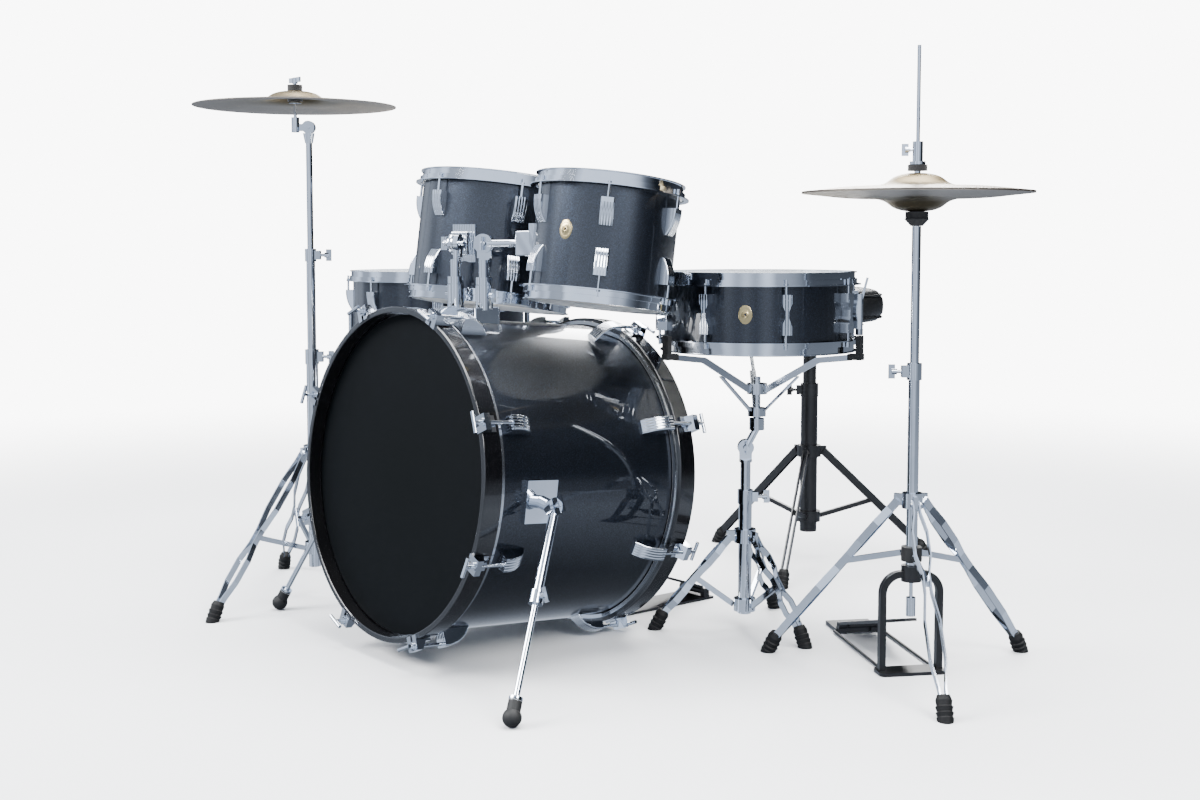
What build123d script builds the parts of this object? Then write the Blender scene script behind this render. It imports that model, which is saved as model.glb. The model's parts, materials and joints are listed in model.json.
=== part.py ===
"""Acoustic drum kit: bass drum, two rack toms, floor tom, snare, hi-hat, crash cymbal and throne.

Millimetres, +Z up, floor at Z = 0. The bass drum's front head faces -Y and the
player sits towards +Y. The origin is the middle of the kit's footprint.
"""
from build123d import *
import math
import os

os.makedirs("parts", exist_ok=True)

# Layout: every unit is placed from the bass drum's own centre line,
# then all of them move by this amount so the footprint is centred.
SHIFT_X = 57.1
SHIFT_Y = -440.9


def spot(x, y):
    """Floor position of a unit, with the shared shift applied."""
    return (x + SHIFT_X, y + SHIFT_Y)


BASS_AT = spot(0, 230)            # where the rear hoop meets the floor
HOLDER_AT = spot(0, -30)          # tom holder, above the bass drum
TOM_LEFT_AT = spot(-165, 143)     # 12 inch rack tom, centre of its shell
TOM_RIGHT_AT = spot(208, 112)     # 10 inch rack tom
FLOOR_TOM_AT = spot(-749, 395)
SNARE_AT = spot(257, 444)
SNARE_STAND_AT = spot(244, 428)
HIHAT_AT = spot(635, 434)
CRASH_AT = spot(-511, -72)
THRONE_AT = spot(-87, 962)
PEDAL_AT = spot(0, 0)

# Bass drum, 22 x 16 inch.
BASS_R = 277.5
BASS_HALF = 203.0
BASS_WALL = 7.0
HOOP_R = 292.0
HOOP_INNER_R = 281.5
HOOP_START = 194.3
HOOP_END = 230.0
BASS_TILT = 4.6                   # spurs lift the front
BASS_LUGS = 8
BASS_ROD_R = 303.0                # radius of the ring of tension rods

# Other drums: shell radius and half height.
TOM_LEFT_R, TOM_LEFT_HALF = 149.5, 114.0
TOM_RIGHT_R, TOM_RIGHT_HALF = 124.0, 101.5
FLOOR_TOM_R, FLOOR_TOM_HALF = 200.0, 203.0
SNARE_R, SNARE_HALF = 175.0, 63.5
TOM_Z = 728.0                     # height of both rack tom centres
TOM_TILT = 8.0                    # rack toms lean towards the player
FLOOR_TOM_Z = 450.0
SNARE_Z = 603.0
WALL = 6.0
ROD_OUT = 11.6                    # tension rods stand this far outside a shell

# Angles about each drum's axis, degrees from +X.
TOM_LEFT_LUG_ANGLE = -21.0
TOM_RIGHT_LUG_ANGLE = -100.0
FLOOR_LUG_ANGLE = 11.0
FLOOR_LEG_ANGLES = (78.5, 213.5, 303.5)
SNARE_LUG_ANGLE = -30.0
STRAINER_ANGLE = 37.5

# Bass drum spurs.
SPUR_ANGLE = 3.0                  # bracket sits this far below the drum's middle
SPUR_ALONG = -108.0
SPUR_KNUCKLE_R = 322.0
SPUR_TIPS = {1: (440.0, -260.0), -1: (-440.0, -190.0)}
SPUR_TIP_R = 15.0

# Tom holder.
POST_X = 45.0
POST_R = 9.5
POST_TOP_Z = TOM_Z

# Stands: tube radii and the heights of their joints.
CRASH_TUBES = (12.0, 9.0, 6.5)
CRASH_CLAMP_1_Z, CRASH_CLAMP_2_Z = 480.0, 690.0
CRASH_TILT_Z = 962.0
CRASH_ARM = 27.0
CRASH_CYMBAL_R, CRASH_EDGE_Z = 203.0, 1003.0
HIHAT_R, HIHAT_EDGE_Z = 190.5, 813.0
HIHAT_TUBE_R, HIHAT_BASE_R = 7.5, 9.5
HIHAT_HEADING = 150.0             # the hi-hat pedal points this way
SNARE_TUBE_R, SNARE_BASE_R = 9.5, 12.5
SNARE_CLAMP_Z, SNARE_TILT_Z, SNARE_HUB_Z = 250.0, 345.0, 412.0
BASKET_ANGLES = (20.6, 140.6, 260.6)
THRONE_POST_R, THRONE_BASE_R = 15.0, 19.0
THRONE_CLAMP_Z, THRONE_SEAT_Z, THRONE_SEAT_R = 393.0, 545.0, 165.0

FIT = 0.05                        # radial clearance of a running fit
SCREEN_RIGHT = 50.6               # side that most clamp screws face, degrees

BASE = (Align.CENTER, Align.CENTER, Align.MIN)
# ---- end of sizes


# ---- Small builders shared by every unit

def polar(radius, degrees, z=0.0):
    """Point at a radius and an angle about Z."""
    turn = math.radians(degrees)
    return Vector(radius * math.cos(turn), radius * math.sin(turn), z)


def facing(origin, direction, across=None):
    """Location at origin whose Z looks along direction."""
    if across is None:
        return Plane(origin=origin, z_dir=direction).location
    return Plane(origin=origin, x_dir=across, z_dir=direction).location


def bar(start, end, radius, bore=0.0):
    """Round bar between two points, or a tube when it has a bore."""
    start, end = Vector(start), Vector(end)
    length = (end - start).length
    body = Cylinder(radius, length, align=BASE)
    if bore:
        body -= Cylinder(bore, length, align=BASE)
    return facing(start, end - start) * body


def strip(start, end, wide, thick, across):
    """Flat bar between two points; its thickness lies along across."""
    start, end = Vector(start), Vector(end)
    length = (end - start).length
    return facing(start, end - start, across) * Box(thick, wide, length, align=BASE)


def spin(*points):
    """Solid of revolution about Z from (radius, height) points."""
    outline = Plane.XZ * Polyline(*points, close=True)
    return revolve(make_face(outline), Axis.Z)


def slab(points, thick):
    """Outline drawn in the XZ plane, given thickness about Y = 0."""
    outline = Plane.XZ * Polyline(*points, close=True)
    return extrude(make_face(outline), amount=thick / 2, both=True)


def around(shape, count, start=0.0):
    """Equally spaced copies about Z."""
    return [Rot(0, 0, start + 360 * i / count) * shape for i in range(count)]


def wing_screw(at, direction, shank=8.0, wing=12.0):
    """Wing screw whose shank starts at the given point."""
    shaft = Cylinder(3.0, shank, align=BASE)
    hub = Pos(0, 0, shank) * Cylinder(5.0, 9.0, align=BASE)
    wings = Pos(0, 0, shank + 3) * Box(2 * wing, 3.0, 11.0, align=BASE)
    return facing(at, direction, (0, 0, 1)) * (shaft + hub + wings)


def clamp(at, bottom_z, tube_r, height, screw_angle):
    """Height clamp: a collar with a split boss. The screw is a second solid."""
    x, y = at
    direction = polar(1.0, screw_angle)
    collar = Pos(x, y, bottom_z) * Cylinder(tube_r + 5.0, height, align=BASE)
    boss_at = Vector(x, y, bottom_z + height / 2) + direction * (tube_r + 2)
    boss = facing(boss_at, direction, (0, 0, 1)) * Box(height * 0.7, 14, 12, align=BASE)
    screw = wing_screw(boss_at + direction * 12.1, direction)
    return collar + boss, screw


def bored(shape, at, low, high, radius):
    """Drill a vertical hole through a shape."""
    return shape - Pos(at[0], at[1], low) * Cylinder(radius, high - low, align=BASE)


def save(node, *shapes):
    """Write one node as a group of its separate solids."""
    solids = []
    for shape in shapes:
        solids += list(shape.solids())
    export_step(Compound(children=solids), "parts/%s.step" % node)


# ---- Drum pieces, built about Z with the drum's middle at the origin

def make_shell(radius, half, wall):
    return Cylinder(radius, 2 * half) - Cylinder(radius - wall, 2 * half)


def make_head(radius, half):
    """Film stretched over the bearing edge, ending in its flesh hoop."""
    return spin((0, half + 0.2), (radius + 0.4, half + 0.2), (radius + 0.4, half - 12),
                (radius + 5.6, half - 12), (radius + 5.6, half - 5.2),
                (radius + 1.0, half - 5.2), (radius + 1.0, half + 0.4),
                (radius + 0.6, half + 0.8), (0, half + 0.8))


def make_rim(radius, half, lugs, start):
    """Triple-flanged steel hoop with a hole for each tension rod."""
    ring = spin((radius + 2, half + 10), (radius + 7.5, half + 10),
                (radius + 7.5, half + 8.2), (radius + 3.8, half + 8.2),
                (radius + 3.8, half - 2.9), (radius + 8, half - 2.9),
                (radius + 8, half - 12.2), (radius + 15.5, half - 12.2),
                (radius + 15.5, half - 14), (radius + 6.2, half - 14),
                (radius + 6.2, half - 4.7), (radius + 2, half - 4.7))
    hole = Pos(radius + ROD_OUT, 0, half - 20) * Cylinder(2.8, 12, align=BASE)
    for copy in around(hole, lugs, start):
        ring -= copy
    return ring


def make_tension_rod(radius, half, lug_top):
    """Threaded rod with a drum-key head, for the upper rim."""
    x = radius + ROD_OUT
    shaft = bar((x, 0, lug_top + 0.1), (x, 0, half - 11.9), 2.5)
    collar = Pos(x, 0, half - 12.0) * Cylinder(3.5, 3.0, align=BASE)
    key = Pos(x, 0, half - 9.0) * Box(4.4, 4.4, 7.0, align=BASE)
    return shaft + collar + key


def make_arch_lug(radius, low, high, depth, wide):
    """Arched casting: deep where the rod enters, running out to the shell."""
    mid = (low + high) / 2
    edge = Polyline((radius - 3, low), (radius - 3, high), (radius + depth, high),
                    (radius + depth, high - 8))
    arch = ThreePointArc((radius + depth, high - 8), (radius + depth * 0.8, mid - 4),
                         (radius + 4, low))
    foot = Line((radius + 4, low), (radius - 3, low))
    face = make_face(Plane.XZ.location * (edge + arch + foot))
    body = extrude(face, amount=wide / 2, both=True)
    body = fillet(body.edges().filter_by(GeomType.CIRCLE), 3.0)
    trim = Pos(0, 0, low - 1) * Cylinder(radius + 0.2, high - low + 2, align=BASE)
    return body - trim


def make_bow_tie_lug(radius, top):
    """Double-ended lug: wide ends joined by a narrow waist."""
    wide, waist = 9.0, 3.6
    outline = Polyline((-wide, -top), (wide, -top), (wide, -top + 16), (waist, -6),
                       (waist, 6), (wide, top - 16), (wide, top), (-wide, top),
                       (-wide, top - 16), (-waist, 6), (-waist, -6), (-wide, -top + 16),
                       close=True)
    face = make_face(Plane.YZ * outline)
    body = Pos(radius - 2, 0, 0) * extrude(face, amount=20.0)
    trim = Cylinder(radius + 0.2, 2 * top + 2)
    return body - trim


def mirrored(shape):
    """Copy reflected to the drum's other end."""
    return mirror(shape, Plane.XY)


def drum_set(radius, half, lugs, start, lug, lug_top):
    """Shell, rims, heads and lug pieces of one drum with steel rims."""
    rim = make_rim(radius, half, lugs, start)
    head = make_head(radius, half)
    rod = make_tension_rod(radius, half, lug_top)
    pieces = []
    for piece in (rod, mirrored(rod)) + lug:
        pieces += around(piece, lugs, start)
    return {"shell": [make_shell(radius, half, WALL)],
            "rims": [rim, mirrored(rim)],
            "heads": [head, mirrored(head)],
            "lugs": pieces}


def separate_lugs(radius, half):
    """One arched lug for each head."""
    lug = make_arch_lug(radius, half - 82, half - 36, 17.0, 24.0)
    return (lug, mirrored(lug))


def save_drum(prefix, pieces, place):
    for name in ("shell", "rims", "heads", "lugs"):
        save("%s_%s" % (prefix, name), *[place * piece for piece in pieces[name]])


# ---- Bass drum, built about Z and then laid down

BASS_PLACE = (Pos(BASS_AT[0], BASS_AT[1], 0) * Rot(-BASS_TILT, 0, 0)
              * Pos(0, -HOOP_END, HOOP_R) * Rot(-90, 0, 0))


def bass_point(radius, degrees, along):
    """World position of a point given about the bass drum's axis."""
    local = polar(radius, degrees, along)
    return (BASS_PLACE * Pos(local.X, local.Y, local.Z)).position


def make_bass_head():
    r, h = BASS_R, BASS_HALF
    return spin((0, h + 0.2), (r + 0.5, h + 0.2), (r + 0.5, h - 17), (r + 8.5, h - 17),
                (r + 8.5, h - 9), (r + 1.7, h - 9), (r + 1.7, h + 0.4), (r + 1.1, h + 1.0),
                (0, h + 1.0))


def make_claw():
    """Hook over the wooden hoop, with two lobes and a bore for its rod."""
    r = HOOP_R
    hook = slab([(r + 0.4, 204), (r + 4, 204), (r + 4, 214), (r + 18, 222),
                 (r + 18, 233.5), (r - 8, 233.5), (r - 8, 230.4), (r + 0.4, 230.4)], 28.0)
    hook -= Pos(r - 6, 0, 232) * Box(16, 6, 12)
    hook -= Pos(BASS_ROD_R, 0, 200) * Cylinder(3.5, 40, align=BASE)
    return hook


def make_claw_rod():
    """T-handled tension rod from the lug to the claw."""
    x = BASS_ROD_R
    shaft = bar((x, 0, 175.3), (x, 0, 250), 3.2)
    washer = Pos(x, 0, 233.8) * Cylinder(7.0, 3.0, align=BASE)
    handle = bar((x, -18, 250), (x, 18, 250), 3.2)
    return shaft + washer + handle


def build_bass_drum():
    hoop = Pos(0, 0, HOOP_START) * Cylinder(HOOP_R, HOOP_END - HOOP_START, align=BASE)
    hoop -= Pos(0, 0, HOOP_START) * Cylinder(HOOP_INNER_R, HOOP_END - HOOP_START, align=BASE)
    hoop = fillet(hoop.edges().filter_by(GeomType.CIRCLE), 2.0)
    head = make_bass_head()
    lug = make_arch_lug(BASS_R, 122, 175, 31.0, 26.0)
    start = 22.5
    save("bass_shell", BASS_PLACE * make_shell(BASS_R, BASS_HALF, BASS_WALL))
    save("bass_hoops", BASS_PLACE * hoop, BASS_PLACE * mirrored(hoop))
    save("bass_heads", BASS_PLACE * head, BASS_PLACE * mirrored(head))
    lugs = around(lug, BASS_LUGS, start) + around(mirrored(lug), BASS_LUGS, start)
    save("bass_lugs", *[BASS_PLACE * piece for piece in lugs])
    claws = []
    for piece in (make_claw(), make_claw_rod()):
        claws += around(piece, BASS_LUGS, start) + around(mirrored(piece), BASS_LUGS, start)
    save("bass_claws", *[BASS_PLACE * piece for piece in claws])


# ---- Spurs: a folding leg on each side of the bass drum

def spur_frame(side):
    """Knuckle point, leg direction, length and fold axis of one spur."""
    angle = SPUR_ANGLE if side > 0 else 180 - SPUR_ANGLE
    knuckle = bass_point(SPUR_KNUCKLE_R, angle, SPUR_ALONG)
    tip = Vector(*spot(*SPUR_TIPS[side]), SPUR_TIP_R)
    reach = (tip - knuckle).length
    down = (tip - knuckle).normalized()
    axis = Vector(-side * down.Z, 0, side * down.X).normalized()
    return knuckle, down, reach, axis


def build_spur(side, name):
    knuckle, down, reach, axis = spur_frame(side)
    disc = bar(knuckle - axis * 4, knuckle + axis * 4, 14.0)
    neck = bar(knuckle, knuckle + down * 20, 4.0)
    tube = bar(knuckle + down * 16, knuckle + down * 165, 8.0)
    collar = bar(knuckle + down * 150, knuckle + down * 172, 12.0)
    bore = bar(knuckle + down * 40, knuckle + down * 180, 5.0 + FIT)
    pin = bar(knuckle - axis * 16, knuckle, 4.0)
    leg = disc + neck + tube + collar + pin - bore
    fold_screw = wing_screw(knuckle + axis * 4.1, axis, 4.0, 14.0)
    slide_screw = wing_screw(knuckle + down * 161 + axis * 12.1, axis, 5.0, 12.0)
    save("spur_%s_leg" % name, leg, fold_screw, slide_screw)
    tip_at = knuckle + down * reach
    rod = bar(knuckle + down * 70, tip_at - down * 6, 5.0)
    washer = bar(tip_at - down * 32, tip_at - down * 28, 11.0, 5.05)
    tip = Pos(*tip_at) * Sphere(SPUR_TIP_R)
    sleeve = bar(tip_at - down * 26, tip_at, 11.0)
    tip = tip + sleeve - bar(tip_at - down * 40, tip_at - down * 5.9, 5.02)
    save("spur_%s_rod" % name, rod, washer, tip)


def make_spur_bracket(side):
    """Plate and knuckle half, screwed to the bass shell."""
    knuckle, down, reach, axis = spur_frame(side)
    angle = SPUR_ANGLE if side > 0 else 180 - SPUR_ANGLE
    plate = BASS_PLACE * (Rot(0, 0, angle) * Pos(BASS_R + 2.5, 0, SPUR_ALONG) * Box(9, 72, 62))
    post = bar(bass_point(BASS_R + 3, angle, SPUR_ALONG), knuckle - axis * 9, 11.0)
    disc = bar(knuckle - axis * 14, knuckle - axis * 4.4, 14.0)
    casting = plate + post + disc
    casting -= bar(knuckle - axis * 4.4, knuckle + axis * 40, 40.0)
    casting -= bar(knuckle - axis * 30, knuckle + axis * 5, 4.0 + FIT)
    return casting - BASS_PLACE * Cylinder(BASS_R + 0.2, 2 * BASS_HALF)


# ---- Tom holder and rack toms

def holder_frame(side):
    """Post top, direction towards the tom, and the tilt axis."""
    post = Vector(HOLDER_AT[0] + side * POST_X, HOLDER_AT[1], POST_TOP_Z)
    tom = TOM_RIGHT_AT if side > 0 else TOM_LEFT_AT
    reach = Vector(tom[0] - post.X, tom[1] - post.Y, 0)
    towards = reach.normalized()
    axis = Vector(-towards.Y, towards.X, 0) * -side
    return post, towards, axis, reach.length


def make_holder_block():
    """Base on the bass shell with two receivers for the posts."""
    x, y = HOLDER_AT
    base = Pos(x, y, 578) * Box(112, 58, 36, align=BASE)
    base = fillet(base.edges().filter_by(Axis.Z), 6.0)
    for side in (-1, 1):
        base += Pos(x + side * POST_X, y, 610) * Cylinder(15.5, 44, align=BASE)
    for side in (-1, 1):
        base = bored(base, (x + side * POST_X, y), 604, 660, POST_R + FIT)
    return base - BASS_PLACE * Cylinder(BASS_R + 0.2, 2 * BASS_HALF)


def build_holder():
    x, y = HOLDER_AT
    screws = []
    for side in (-1, 1):
        at = Vector(x + side * (POST_X + 15.6), y, 636)
        screws.append(wing_screw(at, (side, 0, 0), 4.0, 12.0))
    save("tom_mount_block", make_holder_block(), *screws)


def build_tom_post(side, name):
    post, towards, axis, reach = holder_frame(side)
    shaft = bar((post.X, post.Y, 606), (post.X, post.Y, POST_TOP_Z - 12), POST_R)
    lock = bar((post.X, post.Y, 655), (post.X, post.Y, 668), 15.0)
    neck = bar((post.X, post.Y, POST_TOP_Z - 26), (post.X, post.Y, POST_TOP_Z - 10), 13.0)
    disc = bar(post - axis * 9.5, post - axis * 0.5, 17.0)
    joint = shaft + lock + neck + disc
    joint -= bar(post - axis * 0.5, post + axis * 20, 30.0)
    joint -= bar(post - axis * 12, post + axis * 2, 4.0 + FIT)
    save("tom_%s_post" % name, joint)


def make_tom_arm(side, radius, place):
    """Ratchet half, arm and the bracket on the tom's shell."""
    post, towards, axis, reach = holder_frame(side)
    start = post + axis * 5
    disc = bar(post + axis * 0.5, post + axis * 9.5, 17.0)
    pin = bar(post - axis * 16, post + axis, 4.0)
    wall = reach - radius
    arm = bar(start + towards * 8, start + towards * (wall - 3), 6.5)
    arm -= bar(post - axis * 20, post + axis * 0.5, 30.0)
    arm += disc + pin
    nut = wing_screw(post + axis * 9.6, axis, 4.0, 12.0)
    box_at = start + towards * (wall - 31)
    box = facing(box_at, towards, (0, 0, 1)) * Box(44, 32, 40, align=BASE)
    plate = facing(start + towards * (wall - 5), towards, (0, 0, 1)) * Box(70, 44, 14, align=BASE)
    bracket = fillet(box.edges().filter_by(GeomType.LINE), 3.0) + plate
    bracket -= bar(start + towards * 5, start + towards * (wall - 2.5), 6.5 + FIT)
    bracket -= place * Cylinder(radius + 0.2, 260)
    return [arm, nut, bracket]


def build_tom(side, name, at, radius, half, start):
    place = Pos(at[0], at[1], TOM_Z) * Rot(-TOM_TILT, 0, 0)
    pieces = drum_set(radius, half, 6, start, separate_lugs(radius, half), half - 36)
    for part_name in ("shell", "rims", "heads"):
        save("tom_%s_%s" % (name, part_name), *[place * p for p in pieces[part_name]])
    lugs = [place * piece for piece in pieces["lugs"]]
    save("tom_%s_lugs" % name, *(lugs + make_tom_arm(side, radius, place)))


# ---- Floor tom on three sliding legs

def make_leg_bracket(angle):
    leg_r = FLOOR_TOM_R + 30
    block = Pos(FLOOR_TOM_R + 18, 0, -40) * Box(44, 26, 60)
    block = fillet(block.edges().filter_by(Axis.Z), 5.0)
    plate = Pos(FLOOR_TOM_R + 2, 0, -40) * Box(10, 44, 84)
    block = bored(block + plate, (leg_r, 0), -80, 0, 6.35 + FIT)
    block -= Cylinder(FLOOR_TOM_R + 0.2, 2 * FLOOR_TOM_HALF)
    screw = wing_screw((leg_r + 10.1, 0, -40), (1, 0, 0), 4.0, 11.0)
    return [Rot(0, 0, angle) * block, Rot(0, 0, angle) * screw]


def build_floor_tom():
    place = Pos(FLOOR_TOM_AT[0], FLOOR_TOM_AT[1], FLOOR_TOM_Z)
    pieces = drum_set(FLOOR_TOM_R, FLOOR_TOM_HALF, 8, FLOOR_LUG_ANGLE,
                      separate_lugs(FLOOR_TOM_R, FLOOR_TOM_HALF), FLOOR_TOM_HALF - 36)
    for angle in FLOOR_LEG_ANGLES:
        pieces["lugs"] += make_leg_bracket(angle)
    save_drum("floor_tom", pieces, place)
    for number, angle in enumerate(FLOOR_LEG_ANGLES, 1):
        at = polar(FLOOR_TOM_R + 30, angle)
        foot = Pos(FLOOR_TOM_AT[0] + at.X, FLOOR_TOM_AT[1] + at.Y, 0)
        rod = Pos(0, 0, 8) * Cylinder(6.35, 552, align=BASE)
        boot = spin((0, 0), (13, 0), (15, 3), (15, 14), (12, 20), (10, 46), (6.4, 46),
                    (6.4, 7.8), (0, 7.8))
        save("floor_tom_leg_%d" % number, foot * rod, foot * boot)


# ---- Tripod stands

def make_boot(radius, lean, leg):
    """Ribbed rubber foot that leans with its leg and has a socket for it."""
    boot = spin((0, -12), (11, -12), (13.5, 5), (12, 7), (14, 13), (12, 15), (14, 22),
                (12, 24), (13, 32), (10, 40), (0, 40))
    boot = Pos(radius, 0, 0) * Rot(0, -lean, 0) * boot
    boot -= Pos(radius, 0, -40) * Box(80, 80, 40, align=BASE)
    return boot - leg


def leg_collar(tube_r, z, lug_thick):
    """Collar round the tube with three lugs that carry the legs."""
    ring = Pos(0, 0, z - 13) * Cylinder(tube_r + 8, 26, align=BASE)
    lug = Pos(tube_r + 13, 0, z) * Box(18, lug_thick, 20)
    for copy in around(lug, 3):
        ring += copy
    return ring


def bowed_line(length, meet, near, far):
    """Points along a strip that bows out on each side of the brace's rivet."""
    line = [(0, near)]
    for low, high in ((22, meet - 16), (meet + 16, length - 28)):
        third = 0.3 * (high - low)
        line += [(low, near), (low + third, far), (high - third, far), (high, near)]
    return line + [(length, near)]


def double_leg(start, end, gap, wide, thick, brace, bow):
    """Pair of flat strips that part and meet twice, bent from one piece at the foot."""
    first = Vector(start[0], 0, start[1])
    run = Vector(end[0], 0, end[1]) - first
    direction = run.normalized()
    near = (gap + thick) / 2
    place = facing(first, direction.cross(Vector(0, 1, 0)), direction)
    pieces = []
    for side in (-1, 1):
        line = bowed_line(run.length, run.length * brace, near, near + bow)
        band = [(s, side * (t + thick / 2)) for s, t in line]
        band += [(s, side * (t - thick / 2)) for s, t in reversed(line)]
        face = make_face(Polyline(*band, close=True))
        pieces.append(place * extrude(face, amount=wide / 2, both=True))
    foot = Vector(end[0], 0, end[1])
    web = strip(foot - direction * 16, foot, wide, gap + thick, (0, 1, 0))
    rivet = bar((start[0] + 3, -gap / 2 - thick - 2, start[1] - 3),
                (start[0] + 3, -gap / 2 + 0.2, start[1] - 3), 4.5)
    cap = bar((start[0] + 3, gap / 2 - 0.2, start[1] - 3),
              (start[0] + 3, gap / 2 + thick + 2, start[1] - 3), 4.5)
    return pieces[0] + pieces[1] + web + rivet + cap


def tripod(at, heading, foot_r, top_z, low_z, tube_r, brace, wide=13.0, bow=7.0):
    """Metal pieces and rubber feet of one tripod; brace is where it meets the leg."""
    gap, thick = 8.0, 2.5
    top = (tube_r + 14, top_z)
    foot = (foot_r - 8, 20.0)
    meet = (top[0] + (foot[0] - top[0]) * brace, top[1] + (foot[1] - top[1]) * brace)
    leg = double_leg(top, foot, gap, wide, thick, brace, bow)
    link = strip((tube_r + 9, 0, low_z), (meet[0], 0, meet[1]), 10.0, gap - 0.8, (0, 1, 0))
    lower = Pos(0, 0, low_z - 12) * Cylinder(tube_r + 8, 24, align=BASE)
    link -= lower
    place = Pos(at[0], at[1], 0) * Rot(0, 0, heading)
    bore = Cylinder(tube_r, 400, align=BASE)
    metal = [place * (leg_collar(tube_r, top_z, gap - 0.8) - bore), place * (lower - bore)]
    for piece in (leg, link):
        metal += [place * copy for copy in around(piece, 3)]
    lean = 0.65 * math.degrees(math.atan2(foot[0] - top[0], top[1] - foot[1]))
    boots = [place * copy for copy in around(make_boot(foot_r, lean, leg), 3)]
    return metal, boots


# ---- Crash cymbal stand

def cymbal_profile(radius, bell_r, bell_h, bow, hole, thick):
    """Thin cymbal about Z; its edge is at height 0 and the bell points up."""
    crown = [(hole, bow + bell_h), (bell_r * 0.45, bow + bell_h * 0.93),
             (bell_r * 0.8, bow + bell_h * 0.55), (bell_r, bow + bell_h * 0.12)]
    sweep = [(bell_r + 6, bow - 0.3), (radius * 0.6, bow * 0.62), (radius * 0.82, bow * 0.3),
             (radius, 0.0)]
    upper = [(r, z + thick) for r, z in crown + sweep]
    lower = [(r, z) for r, z in crown + sweep]
    outline = (Spline(*upper) + Line(upper[-1], lower[-1]) + Spline(*lower)
               + Line(lower[0], upper[0]))
    face = make_face(Plane.XZ.location * outline)
    return revolve(face, Axis.Z)


def crash_axis_at():
    """The cymbal's own axis stands off to the side of the stand's tube."""
    step = polar(CRASH_ARM, SCREEN_RIGHT + 180)
    return (CRASH_AT[0] + step.X, CRASH_AT[1] + step.Y)


def build_crash():
    low, mid, top = CRASH_TUBES
    x, y = CRASH_AT
    metal, boots = tripod(CRASH_AT, 46.0, 275.0, 300.0, 100.0, low, 0.55)
    base = bar((x, y, 60), (x, y, CRASH_CLAMP_1_Z), low, mid + FIT)
    collar, screw = clamp(CRASH_AT, CRASH_CLAMP_1_Z + 0.2, mid, 30.0, SCREEN_RIGHT)
    collar = bored(collar, CRASH_AT, 400, 600, mid + FIT)
    save("crash_stand_tripod", base, collar, screw, *metal)

    tube = bar((x, y, 330), (x, y, CRASH_CLAMP_2_Z), mid, top + FIT)
    collar, screw = clamp(CRASH_AT, CRASH_CLAMP_2_Z + 0.2, top, 26.0, SCREEN_RIGHT)
    collar = bored(collar, CRASH_AT, 600, 800, top + FIT)
    save("crash_tube_mid", tube, collar, screw)

    head = Vector(x, y, CRASH_TILT_Z)
    axis = polar(1.0, SCREEN_RIGHT - 90)
    rod = bar((x, y, 540), (x, y, CRASH_TILT_Z - 14), top)
    socket = Pos(x, y, CRASH_TILT_Z - 32) * Cone(8.0, 12.0, 20.0, align=BASE)
    disc = bar(head + axis * 0.5, head + axis * 9, 13.0)
    upright = rod + socket + disc - bar(head - axis * 20, head + axis * 0.5, 20.0)
    upright -= bar(head - axis * 3, head + axis * 12, 4.0 + FIT)
    save("crash_tube_top", upright)

    cx, cy = crash_axis_at()
    centre = Vector(cx, cy, 0)
    disc = bar(head - axis * 9, head - axis * 0.5, 13.0)
    pin = bar(head - axis, head + axis * 14, 4.0)
    boss = bar(centre + Vector(0, 0, CRASH_TILT_Z - 10), centre + Vector(0, 0, CRASH_TILT_Z + 20), 8.0)
    arm = strip(head - axis * 4.5, centre - axis * 4.5 + Vector(0, 0, CRASH_TILT_Z), 14.0, 8.0, axis)
    post = bar(centre + Vector(0, 0, CRASH_TILT_Z), centre + Vector(0, 0, 1062), 3.2)
    seat = bar(centre + Vector(0, 0, 1010), centre + Vector(0, 0, 1014), 13.0)
    tilter = disc + pin + boss + arm + post + seat
    nut = Pos(cx, cy, 1050) * (Cylinder(6, 10, align=BASE) - Cylinder(3.25, 10, align=BASE))
    wings = [Pos(cx + s * 14, cy, 1052) * Box(17, 3.0, 10, align=BASE) for s in (-1, 1)]
    nut = nut + wings[0] + wings[1]
    screw = wing_screw(head - axis * 9.1, axis * -1, 4.0, 10.0)
    save("crash_tilter", tilter, nut, screw)
    felt = Cylinder(15, 12, align=BASE) - Cylinder(5.0, 12, align=BASE)
    upper = Pos(cx, cy, 1035.2) * felt
    lower = Pos(cx, cy, 1014.3) * (Cylinder(15, 15.6, align=BASE) - Cylinder(5.0, 15.6, align=BASE))
    save("crash_felts", upper, lower)
    crash = cymbal_profile(CRASH_CYMBAL_R, 60.0, 18.0, 12.0, 6.0, 1.3)
    save("crash_cymbal", Pos(cx, cy, CRASH_EDGE_Z + 0.3) * crash)
    return boots


# ---- Hi-hat stand, its pedal and two cymbals

def round_topped(deep, wide, high, corner):
    """Block standing on the floor with its two upper corners rounded."""
    block = Box(deep, wide, high, align=BASE)
    return fillet(block.edges().filter_by(Axis.X).sort_by(Axis.Z)[-2:], corner)


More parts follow.
